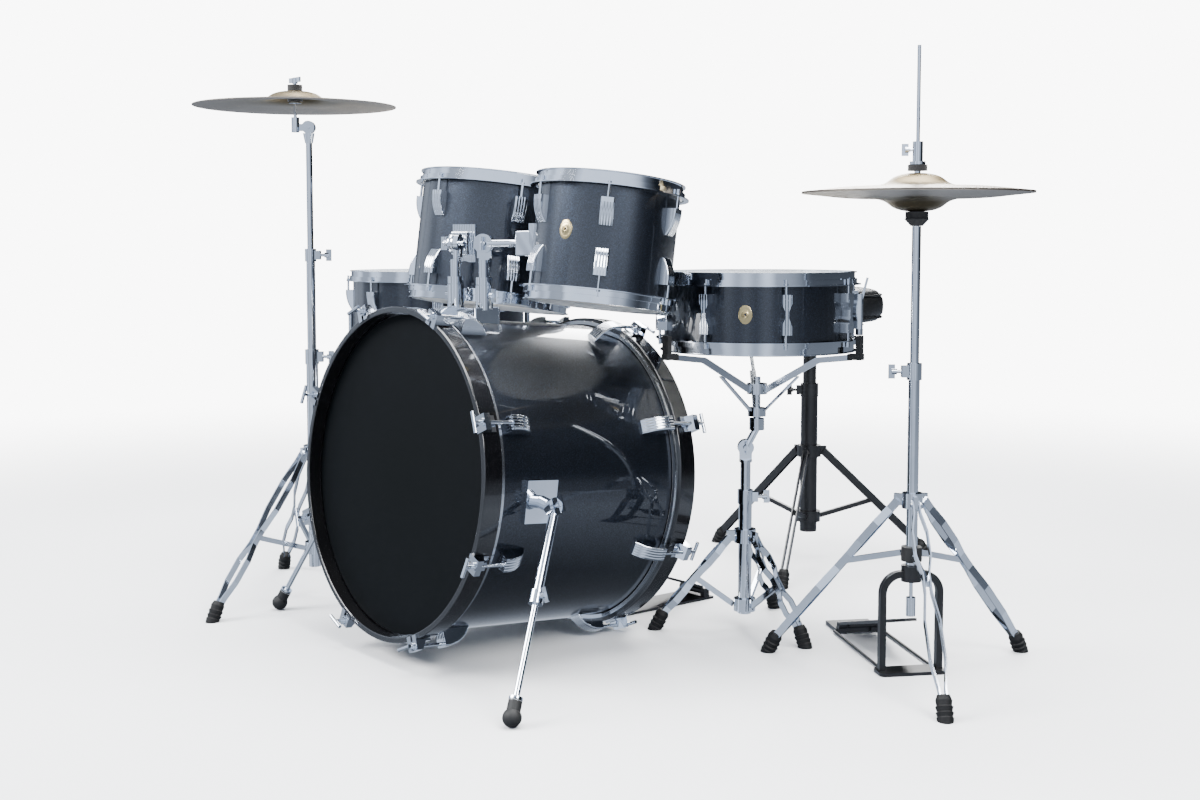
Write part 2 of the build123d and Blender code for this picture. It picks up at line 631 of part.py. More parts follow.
def build_hihat():
    x, y = HIHAT_AT
    z = HIHAT_EDGE_Z
    metal, boots = tripod(HIHAT_AT, 200.8, 262.0, 296.0, 205.0, HIHAT_BASE_R, 0.42)
    base = bar((x, y, 186), (x, y, 500), HIHAT_BASE_R, HIHAT_TUBE_R + FIT)
    collar, screw = clamp(HIHAT_AT, 500.2, HIHAT_TUBE_R, 28.0, SCREEN_RIGHT + 180)
    collar = bored(collar, HIHAT_AT, 450, 600, HIHAT_TUBE_R + FIT)
    save("hihat_stand_tripod", base, collar, screw, *metal)

    place = Pos(x, y, 0) * Rot(0, 0, HIHAT_HEADING)
    arch = round_topped(12, 112, 176, 38) - round_topped(30, 90, 165, 28)
    arch += Pos(0, 0, 158) * Cylinder(17, 27, align=BASE)
    arch -= Cylinder(5.5, 300, align=BASE)
    plate = fillet(Box(44, 118, 6, align=BASE).edges().filter_by(Axis.Z), 10.0)
    heel = Pos(298, 0, 0) * Box(64, 84, 8, align=BASE)
    for side in (-1, 1):
        heel += bar((262, side * 24, 16), (262, side * 40, 16), 7.0)
        heel += Pos(266, side * 32, 0) * Box(14, 16, 12, align=BASE)
    heel -= bar((262, -45, 16), (262, 45, 16), 3.0 + FIT)
    rods = [bar((22.2, s * 46, 4), (265.8, s * 46, 4), 2.8) for s in (-1, 1)]
    frame = [arch + plate, heel] + rods
    save("hihat_pedal_frame", *[place * piece for piece in frame])

    hinge = bar((262, -38, 16), (262, 38, 16), 3.0)
    knuckle = bar((262, -23.5, 16), (262, 23.5, 16), 7.0)
    board = extrude(make_face(Polyline((0, -40), (205, -33), (222, -18), (222, 18), (205, 33),
                                       (0, 40), close=True)), amount=5.0)
    tongue = Pos(239, 0, 0) * Box(46, 18, 5, align=BASE)
    board = Pos(252, 0, 19) * Rot(0, 0, 180) * Rot(0, -15.5, 0) * (board + tongue)
    board += Pos(254, 0, 16) * Box(16, 46, 6.5, align=BASE)
    save("hihat_footboard", place * (hinge + knuckle + board))

    tube = bar((x, y, 360), (x, y, z - 56), HIHAT_TUBE_R, 5.0)
    cup = Pos(x, y, z - 55.8) * Cone(10, 21, 12, align=BASE)
    cup = bored(cup, HIHAT_AT, 700, 800, 5.0)
    felt = Pos(x, y, z - 43.6) * (Cylinder(19, 11.6, align=BASE) - Cylinder(5.0, 11.6, align=BASE))
    save("hihat_upper_tube", tube, cup, felt)

    pull = bar((x, y, 126), (x, y, 1055), 3.2)
    coupler = Pos(x, y, 98) * (Cylinder(8, 32, align=BASE)
                               - Pos(0, 0, 27.8) * Cylinder(3.25, 10, align=BASE))
    sleeve = spin((3.25, z + 12), (9, z + 12), (9, z + 19), (5.2, z + 19), (5.2, z + 46),
                  (13, z + 46), (13, z + 51), (8.5, z + 51), (8.5, z + 84), (3.25, z + 84))
    clutch_screw = wing_screw(Vector(x, y, z + 70) + polar(8.6, SCREEN_RIGHT + 180),
                              polar(1, SCREEN_RIGHT + 180), 4.0, 10.0)
    save("hihat_pull_rod", pull, coupler, Pos(x, y, 0) * sleeve, clutch_screw)
    felt = Cylinder(16, 10, align=BASE) - Cylinder(5.4, 10, align=BASE)
    save("hihat_felts", Pos(x, y, z + 19.2) * felt, Pos(x, y, z + 35.6) * felt)

    cymbal = cymbal_profile(HIHAT_R, 52.0, 18.0, 12.0, 6.0, 1.2)
    save("hihat_top_cymbal", Pos(x, y, z + 0.4) * cymbal)
    save("hihat_bottom_cymbal", Pos(x, y, z - 0.4) * Rot(180, 0, 0) * cymbal)
    return boots


# ---- Snare drum and its stand

def build_snare():
    place = Pos(SNARE_AT[0], SNARE_AT[1], SNARE_Z)
    lug = make_bow_tie_lug(SNARE_R, SNARE_HALF - 28)
    pieces = drum_set(SNARE_R, SNARE_HALF, 8, SNARE_LUG_ANGLE, (lug,), SNARE_HALF - 28)
    housing = Pos(SNARE_R + 8, 0, 0) * Box(22, 30, 64)
    housing = fillet(housing.edges().filter_by(Axis.Z), 4.0) - Cylinder(SNARE_R + 0.2, 140)
    housing -= Pos(SNARE_R + 13, 0, 26) * Box(14, 20.8, 24)
    housing -= bar((SNARE_R + 14, -20, 24), (SNARE_R + 14, 20, 24), 2.0 + FIT)
    butt = Pos(SNARE_R + 5, 0, -20) * Box(14, 34, 26) - Cylinder(SNARE_R + 0.2, 140)
    knob = bar((SNARE_R + 13, 0, -32.1), (SNARE_R + 13, 0, -44), 7.0)
    pieces["lugs"] += [Rot(0, 0, STRAINER_ANGLE) * housing, Rot(0, 0, STRAINER_ANGLE) * knob,
                       Rot(0, 0, STRAINER_ANGLE + 180) * butt]
    save_drum("snare", pieces, place)

    pivot = (SNARE_R + 14, 0, 24)
    lever = bar((pivot[0], -10, 24), (pivot[0], 10, 24), 4.5)
    lever += bar((pivot[0], -14.5, 24), (pivot[0], 14.5, 24), 2.0)
    lever += strip((pivot[0] + 3, 0, 22), (pivot[0] + 13, 0, 62), 4.0, 14.0, (0, 1, 0))
    save("snare_strainer_lever", place * (Rot(0, 0, STRAINER_ANGLE) * lever))

    bottom = -SNARE_HALF - 0.8
    wires = []
    for i in range(12):
        y = -24 + i * 48 / 11
        wires.append(bar((-138, y, bottom - 1.6), (138, y, bottom - 1.6), 0.9))
    for side in (-1, 1):
        wires.append(Pos(side * 144, 0, bottom - 1.8) * Box(11.6, 52, 2.4))
    save("snare_wires", *[place * Rot(0, 0, STRAINER_ANGLE) * piece for piece in wires])


def basket_arm(angle):
    """Flat steel arm with a rubber-covered cradle for the snare's lower rim."""
    x, y = SNARE_AT
    rim_low = SNARE_Z - SNARE_HALF - 10
    side = Vector(-math.sin(math.radians(angle)), math.cos(math.radians(angle)), 0)
    hub = Vector(x, y, SNARE_HUB_Z + 40) + polar(14, angle)
    knee = Vector(x, y, rim_low - 16) + polar(120, angle)
    end = Vector(x, y, rim_low - 8) + polar(186, angle)
    arm = strip(hub, knee, 12.0, 5.0, side) + strip(knee - polar(2, angle), end, 11.0, 5.0, side)
    pad = Vector(x, y, rim_low - 12) + polar(194, angle)
    cradle = facing(pad, (0, 0, 1), polar(1, angle)) * Box(26, 18, 11, align=BASE)
    finger = facing(pad + polar(7, angle), (0, 0, 1), polar(1, angle)) * Box(9, 18, 44, align=BASE)
    return arm + cradle + finger


def build_snare_stand():
    x, y = SNARE_STAND_AT
    metal, boots = tripod(SNARE_STAND_AT, 234.7, 172.0, 177.0, 45.0, SNARE_BASE_R, 0.5)
    base = bar((x, y, 28), (x, y, SNARE_CLAMP_Z - 12), SNARE_BASE_R, SNARE_TUBE_R + FIT)
    collar, screw = clamp(SNARE_STAND_AT, SNARE_CLAMP_Z - 11.8, SNARE_TUBE_R, 26.0, SCREEN_RIGHT)
    collar = bored(collar, SNARE_STAND_AT, 200, 300, SNARE_TUBE_R + FIT)
    save("snare_stand_tripod", base, collar, screw, *metal)

    head = Vector(x, y, SNARE_TILT_Z)
    axis = polar(1.0, SCREEN_RIGHT - 90)
    tube = bar((x, y, 120), (x, y, SNARE_TILT_Z - 10), SNARE_TUBE_R)
    disc = bar(head - axis * 9, head - axis * 0.5, 15.0)
    neck = bar((x, y, SNARE_TILT_Z - 28), (x, y, SNARE_TILT_Z - 8), 12.0)
    upright = tube + disc + neck - bar(head - axis * 0.5, head + axis * 20, 24.0)
    upright -= bar(head - axis * 12, head + axis, 4.0 + FIT)
    save("snare_stand_tube", upright)

    sx, sy = SNARE_AT
    disc = bar(head + axis * 0.5, head + axis * 9, 15.0)
    pin = bar(head - axis * 14, head + axis, 4.0)
    foot = Vector(sx, sy, SNARE_HUB_Z - 30)
    link = bar(head + axis * 5, foot, 7.0) - bar(head - axis * 30, head + axis * 0.5, 40.0)
    spindle = bar(foot, (sx, sy, SNARE_HUB_Z + 66), 6.5)
    hub = Pos(sx, sy, SNARE_HUB_Z + 34) * Cylinder(19, 20, align=BASE)
    lower_hub = Pos(sx, sy, SNARE_HUB_Z - 8) * Cylinder(17, 16, align=BASE)
    grip = Pos(sx, sy, SNARE_HUB_Z - 34) * Cylinder(14, 22, align=BASE)
    basket = disc + pin + link + spindle + hub + lower_hub + grip
    for angle in BASKET_ANGLES:
        brace = strip(Vector(sx, sy, SNARE_HUB_Z) + polar(12, angle),
                      Vector(sx, sy, 482) + polar(82, angle), 3.0, 12.0,
                      polar(1, angle + 90))
        basket += basket_arm(angle) + brace
    nut = wing_screw(head + axis * 9.1, axis, 4.0, 11.0)
    save("snare_basket", basket, nut)
    return boots


# ---- Throne

def build_throne():
    x, y = THRONE_AT
    metal, boots = tripod(THRONE_AT, 62.0, 290.0, 255.0, 105.0, THRONE_BASE_R, 0.5, 16.0, 0.0)
    base = bar((x, y, 70), (x, y, THRONE_CLAMP_Z - 14), THRONE_BASE_R, THRONE_POST_R + FIT)
    collar, screw = clamp(THRONE_AT, THRONE_CLAMP_Z - 13.8, THRONE_POST_R, 30.0, SCREEN_RIGHT + 180)
    collar = bored(collar, THRONE_AT, 300, 500, THRONE_POST_R + FIT)
    save("throne_tripod", base, collar, screw, *metal)
    post = bar((x, y, 250), (x, y, THRONE_SEAT_Z - 22), THRONE_POST_R, 11.0)
    spigot = bar((x, y, THRONE_SEAT_Z - 22), (x, y, THRONE_SEAT_Z - 4), 11.0)
    save("throne_post", post + spigot)
    plate = Pos(x, y, THRONE_SEAT_Z - 3) * Box(170, 170, 3, align=BASE)
    hub = Pos(x, y, THRONE_SEAT_Z - 21.5) * Cylinder(20, 18.5, align=BASE)
    hub -= Pos(x, y, THRONE_SEAT_Z - 22) * Cylinder(11 + FIT, 18.3, align=BASE)
    save("throne_seat_plate", plate + hub)
    r = THRONE_SEAT_R
    cushion = spin((0, 0), (r - 8, 0), (r - 1, 8), (r, 24), (r, 56), (r - 4, 72), (r - 16, 83),
                   (r - 40, 88), (0, 88))
    save("throne_cushion", Pos(x, y, THRONE_SEAT_Z + 0.2) * cushion)
    return boots


# ---- Bass drum pedal

PEDAL_AXLE_Y, PEDAL_AXLE_Z = 275.0, 150.0
PEDAL_HEEL_Y, PEDAL_HEEL_Z = 525.0, 16.0
BEATER_LEAN = 35.0


def build_pedal():
    place = Pos(PEDAL_AT[0], PEDAL_AT[1], 0)
    plate = Pos(0, 390, 0) * Box(78, 306, 5, align=BASE)
    for side in (-1, 1):
        plate += Pos(side * 40, PEDAL_AXLE_Y, 0) * Box(12, 22, 166, align=BASE)
        plate += bar((side * 26, PEDAL_HEEL_Y, PEDAL_HEEL_Z), (side * 38, PEDAL_HEEL_Y, PEDAL_HEEL_Z), 7.0)
        plate += Pos(side * 32, PEDAL_HEEL_Y, 4) * Box(12, 14, 12, align=BASE)
    plate += Pos(0, 243, 0) * Box(36, 16, 27, align=BASE)
    plate += Pos(0, 229, 18) * Box(36, 26, 9, align=BASE)
    plate -= bar((-60, PEDAL_AXLE_Y, PEDAL_AXLE_Z), (60, PEDAL_AXLE_Y, PEDAL_AXLE_Z), 5.0 + FIT)
    plate -= bar((-60, PEDAL_HEEL_Y, PEDAL_HEEL_Z), (60, PEDAL_HEEL_Y, PEDAL_HEEL_Z), 3.0 + FIT)
    save("bass_pedal_frame", place * plate)

    board = extrude(make_face(Polyline((-38, 0), (38, 0), (30, -205), (16, -232), (-16, -232),
                                       (-30, -205), close=True)), amount=5.0)
    board = Pos(0, PEDAL_HEEL_Y, PEDAL_HEEL_Z + 5) * Rot(-19, 0, 0) * board
    knuckle = bar((-25.5, PEDAL_HEEL_Y, PEDAL_HEEL_Z), (25.5, PEDAL_HEEL_Y, PEDAL_HEEL_Z), 7.0)
    pin = bar((-37, PEDAL_HEEL_Y, PEDAL_HEEL_Z), (37, PEDAL_HEEL_Y, PEDAL_HEEL_Z), 3.0)
    for side in (-1, 1):
        board -= Pos(side * 38, PEDAL_HEEL_Y, 0) * Box(24.6, 20, 40, align=BASE)
    save("pedal_footboard", place * (board + knuckle + pin))

    axle = bar((-46, PEDAL_AXLE_Y, PEDAL_AXLE_Z), (46, PEDAL_AXLE_Y, PEDAL_AXLE_Z), 5.0)
    cam = bar((-7, PEDAL_AXLE_Y, PEDAL_AXLE_Z), (7, PEDAL_AXLE_Y, PEDAL_AXLE_Z), 20.0)
    lean = math.radians(BEATER_LEAN)
    up = Vector(0, math.sin(lean), math.cos(lean))
    fwd = Vector(0, math.cos(lean), -math.sin(lean))
    axle_at = Vector(0, PEDAL_AXLE_Y, PEDAL_AXLE_Z)
    stem = bar(axle_at, axle_at + up * 186, 3.2)
    head_at = axle_at + up * 170
    beater = bar(head_at - fwd * 22, head_at + fwd * 22, 24.0) - bar(axle_at, axle_at + up * 220, 3.22)
    save("pedal_beater", place * (axle + cam + stem), place * beater)
    chain = Pos(0, PEDAL_AXLE_Y + 24.5, 105) * Box(9, 5, 43, align=BASE)
    save("pedal_chain", place * chain)


def main():
    build_bass_drum()
    save("bass_spur_brackets", make_spur_bracket(1), make_spur_bracket(-1))
    build_spur(1, "right")
    build_spur(-1, "left")
    build_holder()
    build_tom_post(-1, "left")
    build_tom_post(1, "right")
    build_tom(-1, "left", TOM_LEFT_AT, TOM_LEFT_R, TOM_LEFT_HALF, TOM_LEFT_LUG_ANGLE)
    build_tom(1, "right", TOM_RIGHT_AT, TOM_RIGHT_R, TOM_RIGHT_HALF, TOM_RIGHT_LUG_ANGLE)
    build_floor_tom()
    build_snare()
    boots = build_crash() + build_hihat() + build_snare_stand() + build_throne()
    save("stand_feet", *boots)
    build_pedal()


main()
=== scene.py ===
# %% [markdown]
# # An acoustic drum kit, dressed for its portrait
# This lesson gives each one the finish that its real material has, and rebuilds the few soft
# or fine pieces that CAD can only block in: the padded seat, the coiled snare wires and the
# pedal's roller chain. Small vent badges are added to the drums.

# %% Load the frame
import bmesh
import bpy
import json
import math
from mathutils import Matrix, Vector


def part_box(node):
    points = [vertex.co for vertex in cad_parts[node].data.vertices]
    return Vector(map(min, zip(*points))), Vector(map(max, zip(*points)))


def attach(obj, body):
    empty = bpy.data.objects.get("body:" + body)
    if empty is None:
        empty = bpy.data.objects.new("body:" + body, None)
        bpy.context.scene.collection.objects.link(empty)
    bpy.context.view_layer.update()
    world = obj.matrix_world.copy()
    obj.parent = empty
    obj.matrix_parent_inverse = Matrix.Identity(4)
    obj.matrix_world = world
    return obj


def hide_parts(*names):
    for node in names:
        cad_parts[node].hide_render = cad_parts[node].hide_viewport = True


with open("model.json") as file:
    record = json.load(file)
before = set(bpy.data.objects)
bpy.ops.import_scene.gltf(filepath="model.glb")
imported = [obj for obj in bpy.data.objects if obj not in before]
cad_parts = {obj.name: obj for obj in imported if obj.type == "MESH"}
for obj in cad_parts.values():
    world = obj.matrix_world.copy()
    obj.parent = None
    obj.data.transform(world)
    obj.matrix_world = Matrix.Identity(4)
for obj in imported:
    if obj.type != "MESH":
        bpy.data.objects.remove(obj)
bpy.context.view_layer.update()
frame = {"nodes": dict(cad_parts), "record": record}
parts = frame["nodes"]
record = frame["record"]

# %% [markdown]
# ## Where things are
# Nothing is placed by eye. A part's box gives its middle, and the record's joints give the
# axes that things turn about. Two small helpers read both, so that the same numbers are never
# typed twice.

# %% Places read from the frame
def middle(*names):
    """Centre of the box round some parts."""
    corners = [Vector(corner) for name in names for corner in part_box(name)]
    low = Vector([min(c[i] for c in corners) for i in range(3)])
    high = Vector([max(c[i] for c in corners) for i in range(3)])
    return (low + high) / 2


def joint_place(name):
    """Point and direction of a joint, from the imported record."""
    joint = next(j for j in record["behaviour"]["joints"] if j["name"] == name)
    return Vector(joint.get("pos_m", (0, 0, 0))), Vector(joint["axis"])


UP = (0, 0, 1)
bass_at = middle("bass_shell")
snare_at = middle("snare_shell")
hats_at = middle("hihat_top_cymbal")
crash_at = middle("crash_cymbal")
print("bass", bass_at[:], "snare", snare_at[:], "hats", hats_at[:], "crash", crash_at[:])

# %% [markdown]
# ## The camera
# A long lens keeps the drums from looking stretched. The camera stands a little above the
# cymbals' height, off the front corner, and looks slightly down. The lens shift slides the
# frame without tilting the uprights any further.

# %% Camera
camera_data = bpy.data.cameras.new("portrait_lens")
camera = bpy.data.objects.new("portrait_camera", camera_data)
bpy.context.collection.objects.link(camera)
camera_data.lens = 45
camera_data.sensor_width = 36
camera_data.shift_y = -0.0394
camera.location = (2.294, -2.005, 0.734)
camera.rotation_euler = (math.pi / 2 - 0.075, 0, math.radians(50.6))
bpy.context.scene.camera = camera
print("lens", camera_data.lens, "mm at", camera.location[:])

# %% [markdown]
# ## Two tools for materials
# Colours are written as the hex values seen on a screen, but Blender mixes light in linear
# values, so one function converts them. The second adds one node: its settings go in as
# keywords, and its sockets take either a plain value or another node's output.

# %% Colour and node helpers
def hex_colour(text):
    """sRGB hex such as 'c0c4c8' to a linear colour with alpha."""
    channels = [int(text[i:i + 2], 16) / 255 for i in (0, 2, 4)]
    linear = [c / 12.92 if c <= 0.04045 else ((c + 0.055) / 1.055) ** 2.4 for c in channels]
    return (*linear, 1.0)


def add(tree, kind, sockets=None, **settings):
    """Adds one node, with its settings and what goes into its sockets."""
    node = tree.nodes.new("ShaderNode" + kind)
    for name, value in settings.items():
        setattr(node, name, value)
    for socket, value in (sockets or {}).items():
        if isinstance(value, bpy.types.NodeSocket):
            tree.links.new(value, node.inputs[socket])
        else:
            node.inputs[socket].default_value = value
    return node


def start_material(name, **constants):
    """Empty material with one principled shader, and the place on the object in metres."""
    material = bpy.data.materials.new(name)
    material.use_nodes = True
    tree = material.node_tree
    tree.nodes.clear()
    shader = add(tree, "BsdfPrincipled")
    for socket, value in constants.items():
        shader.inputs[socket.replace("_", " ")].default_value = value
    add(tree, "OutputMaterial", {"Surface": shader.outputs[0]})
    place = add(tree, "TexCoord").outputs["Object"]
    return material, tree, shader, place


def feed(tree, shader, **sources):
    """Links node outputs into the shader's sockets."""
    for socket, source in sources.items():
        tree.links.new(source, shader.inputs[socket.replace("_", " ")])


print("black sparkle base", hex_colour("0a0b0e"))

# %% [markdown]
# ## Distance from an axis
# Many finishes here follow a turned shape: the grooves of a cymbal, the metal ring round a
# drum head, the rubber end of a leg. All of them start from one number, how far a point is
# from a line. The cross product of the offset with the line's direction has that length.

# %% A ruler for turned shapes
def distance_from(tree, place, point, direction=None):
    """Output: distance from a point, or from the line through it along a direction."""
    offset = add(tree, "VectorMath", {0: place, 1: tuple(point)}, operation="SUBTRACT").outputs[0]
    if direction is not None:
        sockets = {0: offset, 1: tuple(direction)}
        offset = add(tree, "VectorMath", sockets, operation="CROSS_PRODUCT").outputs[0]
    return add(tree, "VectorMath", {0: offset}, operation="LENGTH").outputs["Value"]


def beyond(tree, value, edge, soft=0.0004):
    """Output: 0 below an edge, 1 above it, over a short soft step."""
    sockets = {"Value": value, "From Min": edge - soft, "From Max": edge + soft}
    return add(tree, "MapRange", sockets).outputs["Result"]


def mix_numbers(tree, factor, low, high):
    """Output: from low to high as the factor goes from 0 to 1."""
    return add(tree, "MapRange", {"Value": factor, "To Min": low, "To Max": high}).outputs["Result"]


def mix_colours(tree, factor, low, high):
    """Output: colour between two, each a hex text or another output."""
    low = hex_colour(low) if isinstance(low, str) else low
    high = hex_colour(high) if isinstance(high, str) else high
    return add(tree, "Mix", {0: factor, 6: low, 7: high}, data_type="RGBA").outputs[2]


def noise(tree, place, grain_mm, detail=3.0, stretch=(1, 1, 1)):
    """Output: soft noise whose lumps are about grain_mm across."""
    scaled = add(tree, "VectorMath", {0: place, 1: stretch}, operation="MULTIPLY").outputs[0]
    sockets = {"Vector": scaled, "Scale": 1000 / grain_mm, "Detail": detail}
    return add(tree, "TexNoise", sockets).outputs["Fac"]


def bump(tree, height, depth_mm, under=None):
    """Output: surface direction tilted by a height map, on top of another bump if given."""
    sockets = {"Height": height, "Distance": depth_mm / 1000}
    if under is not None:
        sockets["Normal"] = under
    return add(tree, "Bump", sockets).outputs["Normal"]


print("rulers ready")

# %% [markdown]
# ## Black sparkle wrap
# The shells are plywood under a thin PVC film. Glitter is cast into the film below a clear
# face, so the eye sees two things at once: near-black depth with cold blue-grey points in it,
# and a sharp mirror-like gloss on top. A Voronoi texture gives each flake its own cell and
# random colour. Real flakes are about 0.4 mm and would vanish at this distance, so they are
# drawn at 0.8 mm. The clear face is the shader's coat.

# %% Sparkle wrap
def make_sparkle_wrap():
    material, tree, shader, place = start_material(
        "sparkle_pvc_wrap", Coat_Weight=1.0, Coat_Roughness=0.02, Coat_IOR=1.53)
    cells = add(tree, "TexVoronoi", {"Vector": place, "Scale": 1000 / 0.8})
    random = add(tree, "SeparateColor", {0: cells.outputs["Color"]}).outputs[0]
    flake = add(tree, "Math", {0: random, 1: 2.6}, operation="POWER").outputs[0]
    depth = mix_colours(tree, noise(tree, place, 60), "14171c", "1a1d24")
    colour = mix_colours(tree, flake, depth, "343c49")
    feed(tree, shader, Base_Color=colour,
         Metallic=mix_numbers(tree, flake, 0.85, 1.0),
         Roughness=mix_numbers(tree, flake, 0.38, 0.3),
         Coat_Normal=bump(tree, noise(tree, place, 22, 1.0), 0.01))
    return material


sparkle_wrap = make_sparkle_wrap()
print(sparkle_wrap.name)

# %% [markdown]
# ## Lacquered hoops
# The bass drum's hoops are bent maple under gloss black lacquer. Lacquer sprayed on wood is
# never quite flat: it keeps a faint orange-peel ripple a few millimetres wide, which bends the
# edges of reflections. Scuffs gather on the outside, where the hoops are gripped.

# %% Hoop lacquer
def make_hoop_lacquer():
    material, tree, shader, place = start_material(
        "black_hoop_lacquer", Coat_Weight=0.8, Coat_Roughness=0.03)
    grain = noise(tree, place, 9, 5.0)
    colour = mix_colours(tree, grain, "040405", "08080a")
    feed(tree, shader, Base_Color=colour,
         Roughness=mix_numbers(tree, grain, 0.14, 0.2),
         Normal=bump(tree, noise(tree, place, 5, 1.0), 0.02))
    return material


hoop_lacquer = make_hoop_lacquer()
print(hoop_lacquer.name)

# %% [markdown]
# ## Chrome plate
# Stands, rims, lugs and rods are steel or zinc castings, polished and chrome plated. Chrome is
# almost a mirror, with a slightly cold tint. What stops it looking computed is its history:
# a haze of handling that changes the gloss from place to place, and hair-fine polishing marks.

# %% Chrome plate
def chrome_into(tree, shader, place, mask=None, other=None, under=None):
    """Sets a chrome look; mask, if given, turns it into another finish where it is 1."""
    haze = noise(tree, place, 35, 4.0)
    marks = noise(tree, place, 1.4, 2.0, (1, 1, 6))
    colour = mix_colours(tree, haze, "cdd3dc", "e4e8ee")
    rough = mix_numbers(tree, haze, 0.03, 0.11)
    height = bump(tree, marks, 0.004, under)
    if mask is not None:
        dark = mix_colours(tree, marks, other["low"], other["high"])
        colour = mix_colours(tree, mask, colour, dark)
        apart = add(tree, "Math", {0: mask, 1: other["roughness"]}, operation="MULTIPLY").outputs[0]
        rough = add(tree, "Math", {0: rough, 1: apart}, operation="ADD").outputs[0]
        feed(tree, shader, Metallic=mix_numbers(tree, mask, 1.0, 0.0))
    feed(tree, shader, Base_Color=colour, Roughness=rough, Normal=height)


def make_chrome_plate():
    material, tree, shader, place = start_material("chrome_plate", Metallic=1.0)
    chrome_into(tree, shader, place)
    return material


RUBBER = {"low": "040404", "high": "0c0c0d", "roughness": 0.6}
FELT = {"low": "0b0b0c", "high": "262628", "roughness": 0.8}
chrome_plate = make_chrome_plate()
print(chrome_plate.name)

# %% [markdown]
# ## Ribbed lugs
# The lugs that hold the tension rods are zinc castings with shallow ribs running along the
# drum. Ribs that follow a round drum are stripes of equal angle, so the place is first turned
# upright about the drum's own axis, then its angle becomes a length along the shell. A sine
# wave of that length, 5 mm from rib to rib, drives a bump half a millimetre deep.

# %% Ribbed chrome
RIB_PITCH = 0.005


def make_ribbed_chrome(name, centre, upright, radius):
    """Chrome with ribs along a drum whose axis is upright after a turn about X."""
    material, tree, shader, place = start_material(name, Metallic=1.0)
    offset = add(tree, "VectorMath", {0: place, 1: tuple(centre)}, operation="SUBTRACT").outputs[0]
    offset = add(tree, "VectorRotate", {"Vector": offset, "Angle": upright},
                 rotation_type="X_AXIS").outputs[0]
    sides = add(tree, "SeparateXYZ", {0: offset})
    angle = add(tree, "Math", {0: sides.outputs[1], 1: sides.outputs[0]},
                operation="ARCTAN2").outputs[0]
    turns = add(tree, "Math", {0: angle, 1: radius * 2 * math.pi / RIB_PITCH},
                operation="MULTIPLY").outputs[0]
    ribs = add(tree, "Math", {0: turns}, operation="SINE").outputs[0]
    chrome_into(tree, shader, place, under=bump(tree, ribs, 0.25))
    return material


BASS_TILT, TOM_TILT = math.radians(4.6), math.radians(8)
tom_lean, bass_lean = TOM_TILT, math.radians(90) + BASS_TILT
ribbed = {drum: make_ribbed_chrome("ribbed_chrome_" + drum, middle(drum + "_shell"), turn, radius)
          for drum, turn, radius in (("bass", bass_lean, 0.30), ("tom_left", tom_lean, 0.165),
                                     ("tom_right", tom_lean, 0.14), ("floor_tom", 0.0, 0.215),
                                     ("snare", 0.0, 0.19))}
print(len(ribbed), "ribbed lug sets")

# %% [markdown]
# ## Chrome parts that end in rubber or felt
# Several parts change material along their length: legs end in rubber tips, the snare basket's
# arms carry rubber grips, the beater has a felt head and the hi-hat's seat is a black cup with
# a felt washer. One material with a mask does this. The mask is measured in the part's own
# place, so it stays put when a joint moves.

# %% Masks for two-material parts
def make_tipped_chrome(name, other, point, edge, direction=None, inside=False):
    """Chrome with another finish beyond an edge, or inside it."""
    material, tree, shader, place = start_material(name)
    mask = beyond(tree, distance_from(tree, place, point, direction), edge)
    if inside:
        mask = mix_numbers(tree, mask, 1.0, 0.0)
    chrome_into(tree, shader, place, mask, other)
    return material


COLLAR_REACH = 0.0185


def make_layered_chrome(name, other, low, high, core=None):
    """Chrome with another finish between two heights, and only near an upright if given."""
    material, tree, shader, place = start_material(name)
    height = add(tree, "SeparateXYZ", {0: place}).outputs[2]
    above = beyond(tree, height, low)
    below = mix_numbers(tree, beyond(tree, height, high), 1.0, 0.0)
    mask = add(tree, "Math", {0: above, 1: below}, operation="MULTIPLY").outputs[0]
    if core is not None:
        outside = beyond(tree, distance_from(tree, place, core, UP), COLLAR_REACH)
        near = mix_numbers(tree, outside, 1.0, 0.0)
        mask = add(tree, "Math", {0: mask, 1: near}, operation="MULTIPLY").outputs[0]
    chrome_into(tree, shader, place, mask, other)
    return material


SPUR_BALL_RADIUS, SPUR_BALL_REACH = 0.015, 0.028


def spur_tip(side):
    """Middle of the rubber ball at a spur's end."""
    low, high = (Vector(corner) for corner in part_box("spur_%s_rod" % side))
    x = high.x - SPUR_BALL_RADIUS if side == "right" else low.x + SPUR_BALL_RADIUS
    return Vector((x, low.y + SPUR_BALL_RADIUS, low.z + SPUR_BALL_RADIUS))


spur_finish = {}
for side in ("left", "right"):
    name = "spur_tip_%s_rubber" % side
    spur_finish[side] = make_tipped_chrome(name, RUBBER, spur_tip(side), SPUR_BALL_REACH,
                                           inside=True)
RUBBER_FOOT_TOP, SEAT_CUP_HEIGHT, GRIP_START = 0.046, 0.0238, 0.1785
leg_finish = make_layered_chrome("leg_chrome_rubber", RUBBER, -0.01, RUBBER_FOOT_TOP)
basket_finish = make_tipped_chrome("basket_chrome_rubber", RUBBER, snare_at, GRIP_START, UP)
seat_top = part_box("hihat_upper_tube")[1][2]
cup_finish = make_layered_chrome("hihat_seat_black", FELT, seat_top - SEAT_CUP_HEIGHT,
                                 seat_top + 0.01)
collar_finish = make_layered_chrome("hihat_chrome_black_collar", RUBBER, 0.190, 0.2175, hats_at)
print("spur tips", spur_tip("left")[:], spur_tip("right")[:], "cup from",
      seat_top - SEAT_CUP_HEIGHT)

# %% [markdown]
# ## The beater
# The beater is a hard felt drum on a chrome stem. Its felt is pale grey wool pressed under
# heat: matte, slightly fluffy, with flecks. The mask is the distance from the middle of the
# head, which stands on its stem at a known lean from the axle.

